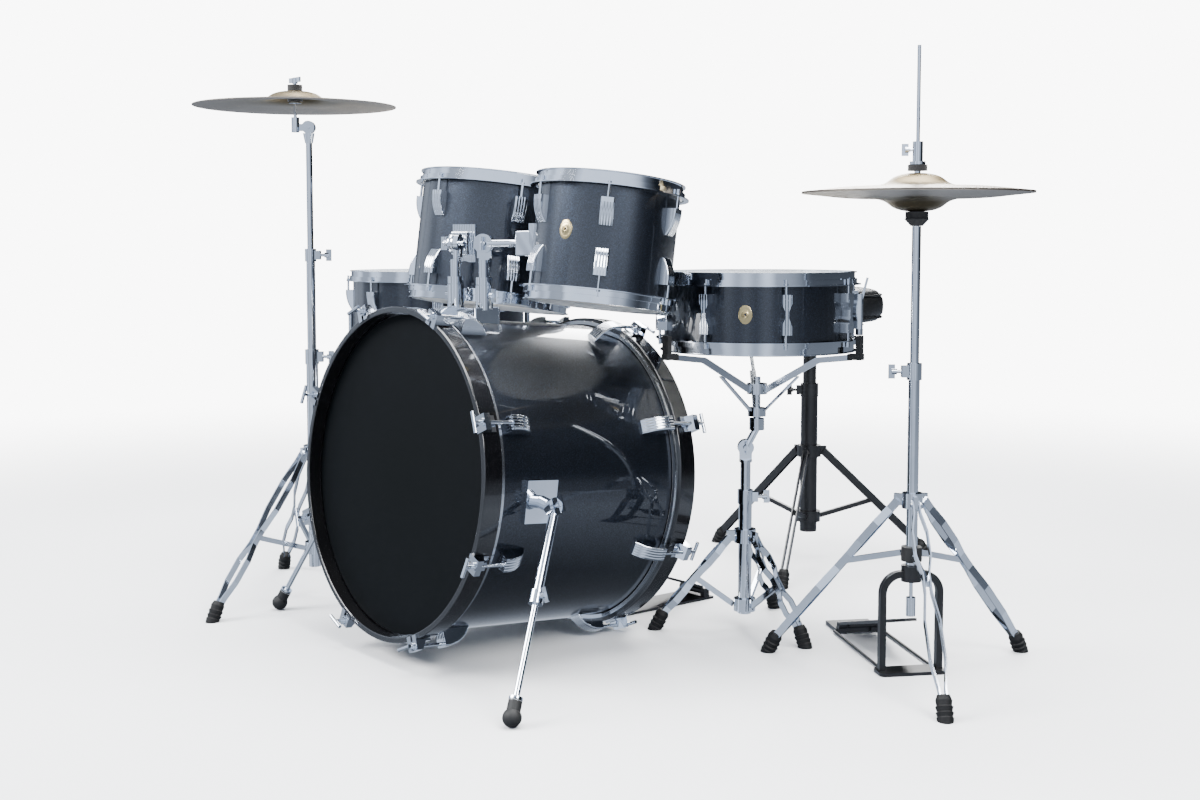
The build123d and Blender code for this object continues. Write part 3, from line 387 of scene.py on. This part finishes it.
# %% Beater
BEATER_LEAN, STEM_LENGTH, FELT_REACH = math.radians(35), 0.170, 0.0345
beater_pivot = joint_place("beater_swing")[0]
stem_direction = Vector((0, math.sin(BEATER_LEAN), math.cos(BEATER_LEAN)))
beater_head = beater_pivot + stem_direction * STEM_LENGTH
BEATER_FELT = {"low": "8d8b86", "high": "c2bfb8", "roughness": 0.8}
beater_finish = make_tipped_chrome("beater_felt_and_steel", BEATER_FELT, beater_head,
                                   FELT_REACH, inside=True)
print("beater head", beater_head[:])

# %% [markdown]
# ## Drum heads
# A head is a polyester film, crimped into an aluminium hoop. On the bass drum the film is
# satin midnight black. On the other drums it has a sprayed white coating, gritty like fine
# emery, and worn a little greyer where sticks land. The metal hoop starts where the film's
# collar ends, so a distance from the drum's own axis tells the two apart.

# %% Heads
bass_axis = Vector((0, math.cos(BASS_TILT), -math.sin(BASS_TILT)))


def make_head_film(name, centre, axis, shell_radius, film_low, film_high, grit_mm, rough,
                   **constants):
    """Film inside the shell's radius, and the head's metal hoop outside it."""
    material, tree, shader, place = start_material(name, **constants)
    radius = distance_from(tree, place, centre, axis)
    ring = beyond(tree, radius, shell_radius + 0.0018)
    worn = add(tree, "MapRange", {"Value": radius, "From Min": 0.1 * shell_radius,
                                  "From Max": 0.9 * shell_radius}).outputs["Result"]
    mottle = noise(tree, place, 30, 4.0)
    blend = add(tree, "Math", {0: worn, 1: mottle}, operation="MULTIPLY").outputs[0]
    film = mix_colours(tree, blend, film_low, film_high)
    grit = noise(tree, place, grit_mm, 2.0)
    feed(tree, shader, Base_Color=mix_colours(tree, ring, film, "c2c5c9"),
         Metallic=ring,
         Roughness=mix_numbers(tree, ring, rough, 0.22),
         Normal=bump(tree, grit, 0.03))
    return material


bass_film = make_head_film("midnight_polyester_film", bass_at, bass_axis, 0.2775,
                           "020405", "05070a", 1.2, 0.6, Specular_IOR_Level=0.06)
print(bass_film.name, "axis", bass_axis[:])

# %% Coated heads of the smaller drums
tom_axis = Vector((0, math.sin(TOM_TILT), math.cos(TOM_TILT)))
coated_film = {}
for drum, axis, radius in (("tom_left", tom_axis, 0.1495), ("tom_right", tom_axis, 0.124),
                           ("floor_tom", Vector(UP), 0.200), ("snare", Vector(UP), 0.175)):
    coated_film[drum] = make_head_film("coated_film_" + drum, middle(drum + "_shell"), axis,
                                       radius, "a9a8a4", "cfcfcb", 0.8, 0.6)
print(len(coated_film), "coated films, tom axis", tom_axis[:])

# %% [markdown]
# ## Cymbals
# Cymbals are cast bronze, hammered and then lathed. The lathe leaves fine rings, which stretch
# every highlight into a fan. The rings here are 1.6 mm apart, coarser than real so that they
# can be seen. Colour drifts with radius: the bell is rubbed brighter, and the bow is a brown
# satin with a faint tarnish.

# %% Bronze
LATHE_PITCH = 0.0016


def make_bronze(name, centre, radius_m):
    material, tree, shader, place = start_material(name, Metallic=1.0, Anisotropic=0.45)
    radius = distance_from(tree, place, centre, UP)
    turns = add(tree, "Math", {0: radius, 1: 2 * math.pi / LATHE_PITCH},
                operation="MULTIPLY").outputs[0]
    rings = add(tree, "Math", {0: turns}, operation="SINE").outputs[0]
    wander = noise(tree, place, 70, 4.0)
    out = add(tree, "MapRange", {"Value": radius, "From Min": 0.03,
                                 "From Max": radius_m}).outputs["Result"]
    bow = mix_colours(tree, wander, "8d8377", "a59b8f")
    tone = mix_colours(tree, out, "77694c", bow)
    feed(tree, shader, Base_Color=tone,
         Roughness=mix_numbers(tree, wander, 0.34, 0.48),
         Normal=bump(tree, mix_numbers(tree, rings, 0.0, 1.0), 0.05))
    return material


hats_bronze = make_bronze("lathed_bronze_hats", hats_at, 0.19)
crash_bronze = make_bronze("lathed_bronze_crash", crash_at, 0.203)
print(hats_bronze.name, crash_bronze.name)

# %% [markdown]
# ## Black paint, rubber and felt
# Pedals and the throne's stand are steel under black powder coat, which is baked plastic
# powder: semi-gloss, with a pebbled skin. Feet are moulded rubber, dusty and matte. Felt is
# wool pressed until it stands up by itself, so it scatters light and shows loose fibres.

# %% Powder coat, rubber, felt
def make_powder_coat():
    material, tree, shader, place = start_material("black_powder_coat", Specular_IOR_Level=0.5)
    pebble = noise(tree, place, 1.5, 3.0)
    wear = noise(tree, place, 26, 4.0)
    feed(tree, shader, Base_Color=mix_colours(tree, wear, "050506", "0d0d0f"),
         Roughness=mix_numbers(tree, wear, 0.28, 0.42),
         Normal=bump(tree, pebble, 0.04))
    return material


def make_rubber():
    material, tree, shader, place = start_material("moulded_rubber", Specular_IOR_Level=0.3)
    dust = noise(tree, place, 14, 5.0)
    feed(tree, shader, Base_Color=mix_colours(tree, dust, "030303", "0e0e0f"),
         Roughness=mix_numbers(tree, dust, 0.5, 0.8),
         Normal=bump(tree, noise(tree, place, 1.2), 0.05))
    return material


def make_felt():
    material, tree, shader, place = start_material("pressed_wool_felt", Sheen_Weight=0.25,
                                                   Sheen_Roughness=0.5)
    fibre = noise(tree, place, 0.9, 6.0)
    feed(tree, shader, Base_Color=mix_colours(tree, fibre, "060607", "151517"),
         Roughness=mix_numbers(tree, fibre, 0.8, 1.0),
         Normal=bump(tree, fibre, 0.4))
    return material


powder_coat = make_powder_coat()
rubber = make_rubber()
felt = make_felt()
print(powder_coat.name, rubber.name, felt.name)

# %% [markdown]
# ## Dress the frame
# Each CAD part takes its finish here. The list is by material, the way a maker would order
# the plating and paint, and every part left out of it is plated in chrome.

# %% Give every part its finish
finishes = {
    sparkle_wrap: ["bass_shell", "tom_left_shell", "tom_right_shell", "floor_tom_shell",
                   "snare_shell"],
    hoop_lacquer: ["bass_hoops"],
    bass_film: ["bass_heads"],
    hats_bronze: ["hihat_top_cymbal", "hihat_bottom_cymbal"],
    crash_bronze: ["crash_cymbal"],
    powder_coat: ["throne_tripod", "throne_post", "hihat_pedal_frame", "bass_pedal_frame",
                  "hihat_footboard", "pedal_footboard"],
    rubber: ["stand_feet"],
    felt: ["hihat_felts", "crash_felts"],
    leg_finish: ["floor_tom_leg_1", "floor_tom_leg_2", "floor_tom_leg_3"],
    basket_finish: ["snare_basket"],
    cup_finish: ["hihat_upper_tube"],
    collar_finish: ["hihat_stand_tripod"],
    beater_finish: ["pedal_beater"],
    spur_finish["left"]: ["spur_left_rod"],
    spur_finish["right"]: ["spur_right_rod"],
}
for drum, film in coated_film.items():
    finishes[film] = [drum + "_heads"]
for drum, ribs in ribbed.items():
    finishes[ribs] = [drum + "_lugs"]
dressed = set()
for material, names in finishes.items():
    for name in names:
        parts[name].data.materials.clear()
        parts[name].data.materials.append(material)
        dressed.add(name)
for name in parts:
    if name not in dressed:
        parts[name].data.materials.clear()
        parts[name].data.materials.append(chrome_plate)
print(len(dressed), "parts with their own finish,", len(parts) - len(dressed), "in chrome")

# %% [markdown]
# ## Grained vinyl for the seat
# The throne's cover is PVC on a knitted back, embossed with a leather grain. The grain is a
# net of creases about 2 mm apart round small raised cells: Voronoi's distance to a cell edge
# draws exactly that. The skin is black with a soft shine on the raised parts.

# %% Seat vinyl
def make_seat_vinyl():
    material, tree, shader, place = start_material("grained_black_vinyl", Specular_IOR_Level=0.3)
    cells = add(tree, "TexVoronoi", {"Vector": place, "Scale": 1000 / 2.4},
                feature="DISTANCE_TO_EDGE").outputs["Distance"]
    raised = add(tree, "MapRange", {"Value": cells, "From Max": 0.12}).outputs["Result"]
    wear = noise(tree, place, 45, 3.0)
    feed(tree, shader, Base_Color=mix_colours(tree, wear, "040404", "0b0b0c"),
         Roughness=mix_numbers(tree, raised, 0.6, 0.38),
         Normal=bump(tree, raised, 0.12))
    return material


seat_vinyl = make_seat_vinyl()
print(seat_vinyl.name)

# %% [markdown]
# ## The seat cushion
# A drummer's round seat is a foam block under a vinyl cover of three panels: a top, a side
# band and a base. The foam pushes back, so the top is crowned and the band bulges between its
# two seams. Blender's cloth does this: a closed shape with pressure inside swells like foam.
# It starts a little small, is solved for twenty frames, and no point may move past a cap.
# Cloth that has grown keeps small wrinkles, so the cover is smoothed until it is taut, then
# scaled back to the seat's own radius and height.

# %% Cushion shape
seat_low, seat_high = (Vector(corner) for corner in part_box("throne_cushion"))
seat_middle = (seat_low + seat_high) / 2
seat_radius = (seat_high.x - seat_low.x) / 2
seat_height = seat_high.z - seat_low.z


def turned_mesh(name, profile, steps=96):
    """Closed mesh turned from (radius, height) points about Z."""
    mesh = bpy.data.meshes.new(name)
    points, faces = [], []
    for i in range(steps):
        turn = 2 * math.pi * i / steps
        points += [(r * math.cos(turn), r * math.sin(turn), z) for r, z in profile]
    count = len(profile)
    for i in range(steps):
        here, there = i * count, (i + 1) % steps * count
        for k in range(count - 1):
            faces.append((here + k, there + k, there + k + 1, here + k + 1))
    mesh.from_pydata(points, [], faces)
    mesh.update()
    return mesh


def weld(mesh, distance=1e-6):
    """Joins points that coincide, such as those on a turned mesh's axis."""
    work = bmesh.new()
    work.from_mesh(mesh)
    bmesh.ops.remove_doubles(work, verts=work.verts, dist=distance)
    bmesh.ops.recalc_face_normals(work, faces=work.faces)
    work.to_mesh(mesh)
    work.free()


def add_piece(name, mesh, material, body, smooth=True):
    """Puts a mesh in the scene with its material, riding on a body."""
    piece = bpy.data.objects.new(name, mesh)
    bpy.context.collection.objects.link(piece)
    mesh.materials.append(material)
    if smooth:
        mesh.polygons.foreach_set("use_smooth", [True] * len(mesh.polygons))
    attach(piece, body)
    return piece


r, h = seat_radius - 0.007, seat_height - 0.010      # smaller, with room to swell
cushion_profile = [(0, 0), (r * 0.5, 0), (r - 0.012, 0), (r - 0.003, 0.006), (r, 0.016),
                   (r, h * 0.5), (r, h - 0.022), (r - 0.006, h - 0.010), (r - 0.022, h - 0.003),
                   (r * 0.6, h), (0, h)]
cushion_mesh = turned_mesh("throne_cushion_cover", cushion_profile)
weld(cushion_mesh)
print("seat radius", round(seat_radius, 4), "height", round(seat_height, 4))

# %% Inflate it
def inflate(mesh, pressure, cap):
    """Cloth with air pressure on a closed mesh; returns the swollen mesh."""
    scene = bpy.context.scene
    piece = bpy.data.objects.new("inflating", mesh)
    bpy.context.collection.objects.link(piece)
    remesh = piece.modifiers.new("voxels", "REMESH")
    remesh.mode = "VOXEL"
    remesh.voxel_size = 0.006
    graph = bpy.context.evaluated_depsgraph_get()
    solid = bpy.data.meshes.new_from_object(piece.evaluated_get(graph))
    piece.modifiers.clear()
    piece.data = solid
    before = [v.co.copy() for v in solid.vertices]
    cloth = piece.modifiers.new("foam", "CLOTH")
    cloth.settings.use_pressure = True
    cloth.settings.uniform_pressure_force = pressure
    cloth.settings.effector_weights.gravity = 0
    cloth.settings.bending_stiffness = 40
    cloth.point_cache.frame_start = 1
    cloth.point_cache.frame_end = 20
    for number in range(1, 21):
        scene.frame_set(number)
    graph = bpy.context.evaluated_depsgraph_get()
    swollen = bpy.data.meshes.new_from_object(piece.evaluated_get(graph))
    for vertex, old in zip(swollen.vertices, before):
        step = vertex.co - old
        if step.length > cap:
            vertex.co = old + step * (cap / step.length)
    scene.frame_set(1)
    bpy.data.objects.remove(piece)
    return swollen


def relax(mesh, rounds):
    """Smooths a mesh, so that the cover is taut and free of wrinkles."""
    work = bmesh.new()
    work.from_mesh(mesh)
    for _ in range(rounds):
        bmesh.ops.smooth_vert(work, verts=work.verts, factor=0.5, use_axis_x=True,
                              use_axis_y=True, use_axis_z=True)
    work.to_mesh(mesh)
    work.free()


def fit_round(mesh, radius, height):
    """Scales a mesh to a radius about Z and a height."""
    wide = max(math.hypot(v.co.x, v.co.y) for v in mesh.vertices)
    rises = [v.co.z for v in mesh.vertices]
    tall = max(rises) - min(rises)
    mesh.transform(Matrix.Diagonal((radius / wide, radius / wide, height / tall, 1)))


PRESSURE, CAP, SMOOTH_ROUNDS, CLEARANCE = 4.0, 0.008, 24, 0.002
cushion_mesh = inflate(cushion_mesh, PRESSURE, CAP)
relax(cushion_mesh, SMOOTH_ROUNDS)
fit_round(cushion_mesh, seat_radius - CLEARANCE, seat_height - CLEARANCE)
top = max(v.co.z for v in cushion_mesh.vertices)
wide = max(math.hypot(v.co.x, v.co.y) for v in cushion_mesh.vertices)
print("cushion", len(cushion_mesh.vertices), "points, radius", round(wide, 4), "top", round(top, 4))

# %% [markdown]
# ## Seams on the seat
# The panels meet in two piped seams: a cord wrapped in vinyl and sewn between them. The vinyl
# is drawn in at the seam, so the cushion is first pinched there, then the piping is laid along
# the pinched line. Its radius is read from the cushion in many places round the seam, so that
# it is half sunk all the way.

# %% Pinch the seams and lay the piping
def pinch(mesh, height, depth, width):
    """Draws the side in towards the axis round one height."""
    for vertex in mesh.vertices:
        radius = math.hypot(vertex.co.x, vertex.co.y)
        near = math.exp(-((vertex.co.z - height) / width) ** 2)
        if radius > 0.05 and near > 0.01:
            keep = 1 - depth * near / radius
            vertex.co.x *= keep
            vertex.co.y *= keep


def radii_at(mesh, height, steps, window=0.005):
    """Radii of a mesh near one height, at equal steps round Z."""
    reach = [0.0] * steps
    for vertex in mesh.vertices:
        if abs(vertex.co.z - height) < window:
            nearest = round(math.atan2(vertex.co.y, vertex.co.x) / (2 * math.pi) * steps)
            radius = math.hypot(vertex.co.x, vertex.co.y)
            for k in (nearest - 1, nearest, nearest + 1):
                reach[k % steps] = max(reach[k % steps], radius)
    reach = [radius or max(reach) for radius in reach]
    return [sum(reach[(i + k) % steps] for k in range(-2, 3)) / 5 for i in range(steps)]


def ring_mesh(name, radii, height, thick, sides=10):
    """Cord of round section laid round Z at the given radii."""
    mesh = turned_mesh(name, [(thick, 0)] * (sides + 1), len(radii))    # faces; points follow
    for i, radius in enumerate(radii):
        turn = 2 * math.pi * i / len(radii)
        for k in range(sides + 1):
            lap = 2 * math.pi * k / sides
            out = radius + thick * math.cos(lap)
            mesh.vertices[i * (sides + 1) + k].co = (out * math.cos(turn), out * math.sin(turn),
                                                     height + thick * math.sin(lap))
    return mesh


lowest = min(v.co.z for v in cushion_mesh.vertices)
seam_heights = (lowest + 0.016, top - 0.020)
for height in seam_heights:
    pinch(cushion_mesh, height, 0.0035, 0.004)
base = seat_low.z + 0.0006 - lowest                  # just clear of the plate under it
lift = Matrix.Translation((seat_middle.x, seat_middle.y, base))
PIPING_STEPS, PIPING_RADIUS = 96, 0.0022
rings = [ring_mesh("seam_%d" % i, radii_at(cushion_mesh, height, PIPING_STEPS), height,
                   PIPING_RADIUS)
         for i, height in enumerate(seam_heights)]
cushion_mesh.transform(lift)
cushion = add_piece("throne_cushion_cover", cushion_mesh, seat_vinyl, "throne_seat")
smooth = cushion.modifiers.new("smooth", "SUBSURF")
smooth.levels = smooth.render_levels = 1
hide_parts("throne_cushion")
for i, ring in enumerate(rings):
    ring.transform(lift)
    weld(ring)
    piping = add_piece("throne_piping_%d" % (i + 1), ring, seat_vinyl, "throne_seat")
print("seams at", [round(height + base, 4) for height in seam_heights])

# %% [markdown]
# ## Snare wires
# Under the snare drum a band of coiled steel wires rattles against the lower head. CAD holds
# their places with straight bars. Here each is a real coil: a curve whose points go round a
# line, with a round bevel. Coils are 1.8 mm apart, about twice the real pitch, so that they
# can be told apart.

# %% Coil the wires
def make_wire_steel():
    material, tree, shader, place = start_material("drawn_steel_wire", Metallic=1.0)
    tone = noise(tree, place, 8)
    feed(tree, shader, Base_Color=mix_colours(tree, tone, "a9abae", "cfd1d3"),
         Roughness=mix_numbers(tree, tone, 0.18, 0.32))
    return material


wire_steel = make_wire_steel()
strainer_at = joint_place("snare_strainer_throw")[0]
along = Vector((strainer_at.x - snare_at.x, strainer_at.y - snare_at.y, 0)).normalized()
across = Vector((-along.y, along.x, 0))
wires_z = middle("snare_wires").z
coils = bpy.data.curves.new("snare_wire_coils", "CURVE")
coils.dimensions = "3D"
coils.bevel_depth = 0.00028
coils.bevel_resolution = 0
WIRES, TURNS, PER_TURN = 12, 150, 6
BAND, LENGTH, COIL_RADIUS = 0.048, 0.276, 0.0009
for i in range(WIRES):
    start = Vector((snare_at.x, snare_at.y, wires_z)) + across * BAND * (i / (WIRES - 1) - 0.5)
    spline = coils.splines.new("POLY")
    spline.points.add(TURNS * PER_TURN - 1)
    for k, point in enumerate(spline.points):
        turn = 2 * math.pi * k / PER_TURN
        step = along * LENGTH * (k / (TURNS * PER_TURN - 1) - 0.5)
        ring = (across * math.cos(turn) + Vector(UP) * math.sin(turn)) * COIL_RADIUS
        point.co = (*(start + step + ring), 1)
wires = bpy.data.objects.new("snare_wire_coils", coils)
bpy.context.collection.objects.link(wires)
coils.materials.append(wire_steel)
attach(wires, "snare_drum")
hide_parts("snare_wires")
print(len(coils.splines), "coils at height", round(wires_z, 4))

# %% End plates of the wires
def bevelled_block(name, size, width, segments=2):
    """Box mesh with rounded edges, centred on the origin."""
    mesh = bpy.data.meshes.new(name)
    work = bmesh.new()
    bmesh.ops.create_cube(work, size=1.0)
    bmesh.ops.scale(work, vec=size, verts=work.verts)
    bmesh.ops.bevel(work, geom=work.edges[:], offset=width, segments=segments, affect="EDGES",
                    profile=0.5)
    work.to_mesh(mesh)
    work.free()
    return mesh


heading = math.atan2(along.y, along.x)
for i, side in enumerate((-1, 1)):
    plate = bevelled_block("snare_wire_plate_%d" % (i + 1), (0.0112, 0.052, 0.0024), 0.0006)
    spot = Vector((snare_at.x, snare_at.y, wires_z - 0.0002)) + along * side * 0.144
    plate.transform(Matrix.Translation(spot) @ Matrix.Rotation(heading, 4, "Z"))
    piece = add_piece(plate.name, plate, wire_steel, "snare_drum", smooth=False)
print("plates", round(math.degrees(heading), 1), "degrees round")

# %% [markdown]
# ## The pedal's chain
# A short roller chain joins the beater's cam to the footboard. A link is two waisted side
# plates on two pins, with a roller between. The links alternate, wide outside and narrow
# inside. All plates are one outline, extruded, and the rollers and pins are plain cylinders.

# %% Roller chain
PLATE_RADIUS, PLATE_THICK = 0.0024, 0.0009
ROLLER_RADIUS, PIN_RADIUS = 0.0020, 0.0010
LINK_PITCH, OUTER_PLATE_X, PLATE_STEP = 0.0076, 0.0034, 0.0011


def link_plate(work, outline, x, thick, lift):
    """Adds one plate to a bmesh; outline points are (depth, height)."""
    near = [work.verts.new((x - thick / 2, y, z + lift)) for y, z in outline]
    far = [work.verts.new((x + thick / 2, y, z + lift)) for y, z in outline]
    count = len(outline)
    work.faces.new(near)
    work.faces.new(list(reversed(far)))
    for k in range(count):
        work.faces.new((near[k], far[k], far[(k + 1) % count], near[(k + 1) % count]))


def make_chain(links, pitch, x_out):
    """Straight chain along Z, centred on the origin."""
    mesh = bpy.data.meshes.new("pedal_roller_chain")
    work = bmesh.new()
    outline = []
    for k in range(20):
        turn = 2 * math.pi * k / 20
        pull = 1 if math.sin(turn) >= 0 else -1
        outline.append((PLATE_RADIUS * math.cos(turn),
                        pull * pitch / 2 + PLATE_RADIUS * math.sin(turn)))
    for i in range(links):
        lift = (i - (links - 1) / 2) * pitch
        offset = x_out if i % 2 else x_out - PLATE_STEP
        for side in (-1, 1):
            link_plate(work, outline, side * offset, PLATE_THICK, lift)
    for i in range(links + 1):
        lift = (i - links / 2) * pitch
        turn = Matrix.Translation((0, 0, lift)) @ Matrix.Rotation(math.pi / 2, 4, "Y")
        for radius, sides, length in ((ROLLER_RADIUS, 20, 2 * x_out - 0.0034),
                                      (PIN_RADIUS, 14, 2 * x_out + 0.0016)):
            bmesh.ops.create_cone(work, cap_ends=True, segments=sides, radius1=radius,
                                  radius2=radius, depth=length, matrix=turn)
    bmesh.ops.recalc_face_normals(work, faces=work.faces)
    work.to_mesh(mesh)
    work.free()
    return mesh


chain_low, chain_high = (Vector(corner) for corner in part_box("pedal_chain"))
chain_at = (chain_low + chain_high) / 2
chain_links = int((chain_high.z - chain_low.z - 2 * PLATE_RADIUS - 0.0002) / LINK_PITCH)
chain_mesh = make_chain(chain_links, LINK_PITCH, OUTER_PLATE_X)
chain_mesh.transform(Matrix.Translation(chain_at))
chain = add_piece("pedal_roller_chain", chain_mesh, wire_steel, "pedal_chain", smooth=False)
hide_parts("pedal_chain")
print(chain_links, "links of", LINK_PITCH * 1000, "mm")

# %% [markdown]
# ## Vent badges
# A drum breathes through one small hole in its side, and an eyelet holds a plate round that
# hole. Here the plate is a plain oval of brushed brass, curved to the shell, with a rolled
# eyelet in its middle. It is drawn flat as rings of points, then each point is wrapped round
# the shell: its sideways distance becomes an angle.

# %% Badges
def make_badge_brass():
    material, tree, shader, place = start_material("brushed_brass_badge", Metallic=1.0)
    brush = noise(tree, place, 0.8, 3.0, (1, 1, 8))
    feed(tree, shader, Base_Color=mix_colours(tree, brush, "a8946a", "cdbb8c"),
         Roughness=mix_numbers(tree, brush, 0.22, 0.38),
         Normal=bump(tree, brush, 0.01))
    return material


def badge_mesh(name, shell_radius):
    """Oval plate with an eyelet, wrapped round a shell whose axis is Z."""
    rings = [(0.0022, -0.0010), (0.0022, 0.0016), (0.0030, 0.0021), (0.0042, 0.0016),
             (0.0046, 0.0008), (0.0095, 0.0008), (0.0118, 0.0007), (0.0124, 0.0001)]
    points, faces, steps = [], [], 48
    for size, lift in rings:
        tall = 1.0 + 0.35 * max(0.0, (size - 0.0046) / 0.0078)
        for k in range(steps):
            turn = 2 * math.pi * k / steps
            side, up = size * math.cos(turn), size * tall * math.sin(turn)
            angle, out = side / shell_radius, shell_radius + lift + 0.0001
            points.append((out * math.cos(angle), out * math.sin(angle), up))
    for i in range(len(rings) - 1):
        for k in range(steps):
            a, b = i * steps + k, i * steps + (k + 1) % steps
            faces.append((a, b, b + steps, a + steps))
    mesh = bpy.data.meshes.new(name)
    mesh.from_pydata(points, [], faces)
    mesh.update()
    return mesh


badge_brass = make_badge_brass()
badges = (("tom_left", "tom_left", 0.1495, -171, -TOM_TILT, 0.0),
          ("tom_right", "tom_right", 0.124, -72, -TOM_TILT, 0.008),
          ("floor_tom", "kit_base", 0.200, -11.5, 0.0, 0.02),
          ("snare", "snare_drum", 0.175, -52.5, 0.0, 0.0))
for drum, body, radius, angle, lean_by, height in badges:
    mesh = badge_mesh("vent_badge_" + drum, radius)
    turn = Matrix.Rotation(lean_by, 4, "X") @ Matrix.Rotation(math.radians(angle), 4, "Z")
    mesh.transform(Matrix.Translation(middle(drum + "_shell")) @ turn
                   @ Matrix.Translation((0, 0, height)))
    badge = add_piece(mesh.name, mesh, badge_brass, body)
print(len(badges), "badges")

# %% [markdown]
# ## Floor and light
# It takes shadows but is kept out of mirror reflections, where the room's own lower part,
# bright near the horizon and dark underfoot, stands in for it. Gloss black and chrome show
# what is around them, so the light comes from a few large soft panels in an otherwise dim
# room: bright shapes to reflect, with dark between them to give the metal depth.

# %% Floor
def make_studio_floor():
    material, tree, shader, place = start_material("studio_floor", Roughness=0.75)
    away = distance_from(tree, place, (0, 0, 0))
    grain = noise(tree, place, 3, 2.0)
    feed(tree, shader, Base_Color=mix_colours(tree, grain, "ececec", "f4f4f4"),
         Alpha=add(tree, "MapRange", {"Value": away, "From Min": 1.6, "From Max": 4.2,
                                      "To Min": 1.0, "To Max": 0.0},
                   interpolation_type="SMOOTHSTEP").outputs["Result"])
    return material


floor_mesh = turned_mesh("studio_floor", [(0, 0), (1.0, 0), (2.5, 0), (4.4, 0)], 64)
weld(floor_mesh)
floor_mesh.materials.append(make_studio_floor())
floor = bpy.data.objects.new("studio_floor", floor_mesh)
floor.location.z = -0.0002
bpy.context.collection.objects.link(floor)
floor.visible_glossy = False
print("floor radius 4.4 m")

# %% Lights
def softbox(name, place, target, size, watts):
    """Rectangular light panel at a place, aimed at a target."""
    light = bpy.data.lights.new(name, "AREA")
    light.shape = "RECTANGLE"
    light.size, light.size_y = size
    light.energy = watts
    lamp = bpy.data.objects.new(name, light)
    bpy.context.collection.objects.link(lamp)
    lamp.location = place
    look = Vector(target) - Vector(place)
    lamp.rotation_euler = look.to_track_quat("-Z", "Y").to_euler()
    return lamp


softbox("key_panel", (-1.4, -3.6, 2.8), (0, 0, 0.5), (2.6, 1.6), 420)
softbox("side_panel", (3.6, -0.6, 2.9), (0, 0, 0.6), (1.4, 2.2), 220)
softbox("top_panel", (0.2, 0.3, 3.6), (0, 0, 0), (3.0, 3.0), 480)
softbox("back_panel", (-2.6, 3.0, 2.6), (0, 0, 0.6), (2.0, 1.4), 220)

world = bpy.data.worlds.new("studio_room")
bpy.context.scene.world = world
world.use_nodes = True
room = world.node_tree
room.nodes.clear()
KEY_SIDE = (0.05, -0.9, 0.42)
direction = add(room, "TexCoord").outputs["Generated"]
facing = add(room, "VectorMath", {0: direction, 1: KEY_SIDE},
             operation="DOT_PRODUCT").outputs["Value"]
lit = add(room, "MapRange", {"Value": facing, "From Min": -0.45, "From Max": 0.35},
          interpolation_type="SMOOTHSTEP").outputs["Result"]
panels = add(room, "TexNoise", {"Vector": direction, "Scale": 2.2, "Detail": 0.0}).outputs["Fac"]
panels = add(room, "MapRange", {"Value": panels, "From Min": 0.42, "From Max": 0.56,
                                "To Min": 0.4}).outputs["Result"]
lit = add(room, "Math", {0: lit, 1: panels}, operation="MULTIPLY").outputs[0]
level = add(room, "SeparateXYZ", {0: direction}).outputs[2]
below = add(room, "MapRange", {"Value": level, "From Min": 0.0, "From Max": -0.3,
                               "To Max": 0.66}).outputs["Result"]
steep = add(room, "MapRange", {"Value": level, "From Min": -0.35, "From Max": -0.8,
                               "To Min": 1.0, "To Max": 0.15}).outputs["Result"]
below = add(room, "Math", {0: below, 1: steep}, operation="MULTIPLY").outputs[0]
lit = add(room, "Math", {0: lit, 1: below}, operation="MAXIMUM").outputs[0]
dim = add(room, "Background", {"Color": mix_colours(room, lit, "14181e", "d3dff2"),
                               "Strength": 1.9})
white = add(room, "Background", {"Color": hex_colour("ffffff"), "Strength": 9.0})
seen = add(room, "LightPath").outputs["Is Camera Ray"]
both = add(room, "MixShader", {0: seen, 1: dim.outputs[0], 2: white.outputs[0]})
add(room, "OutputWorld", {"Surface": both.outputs[0]})
print("four panels and a dim room")
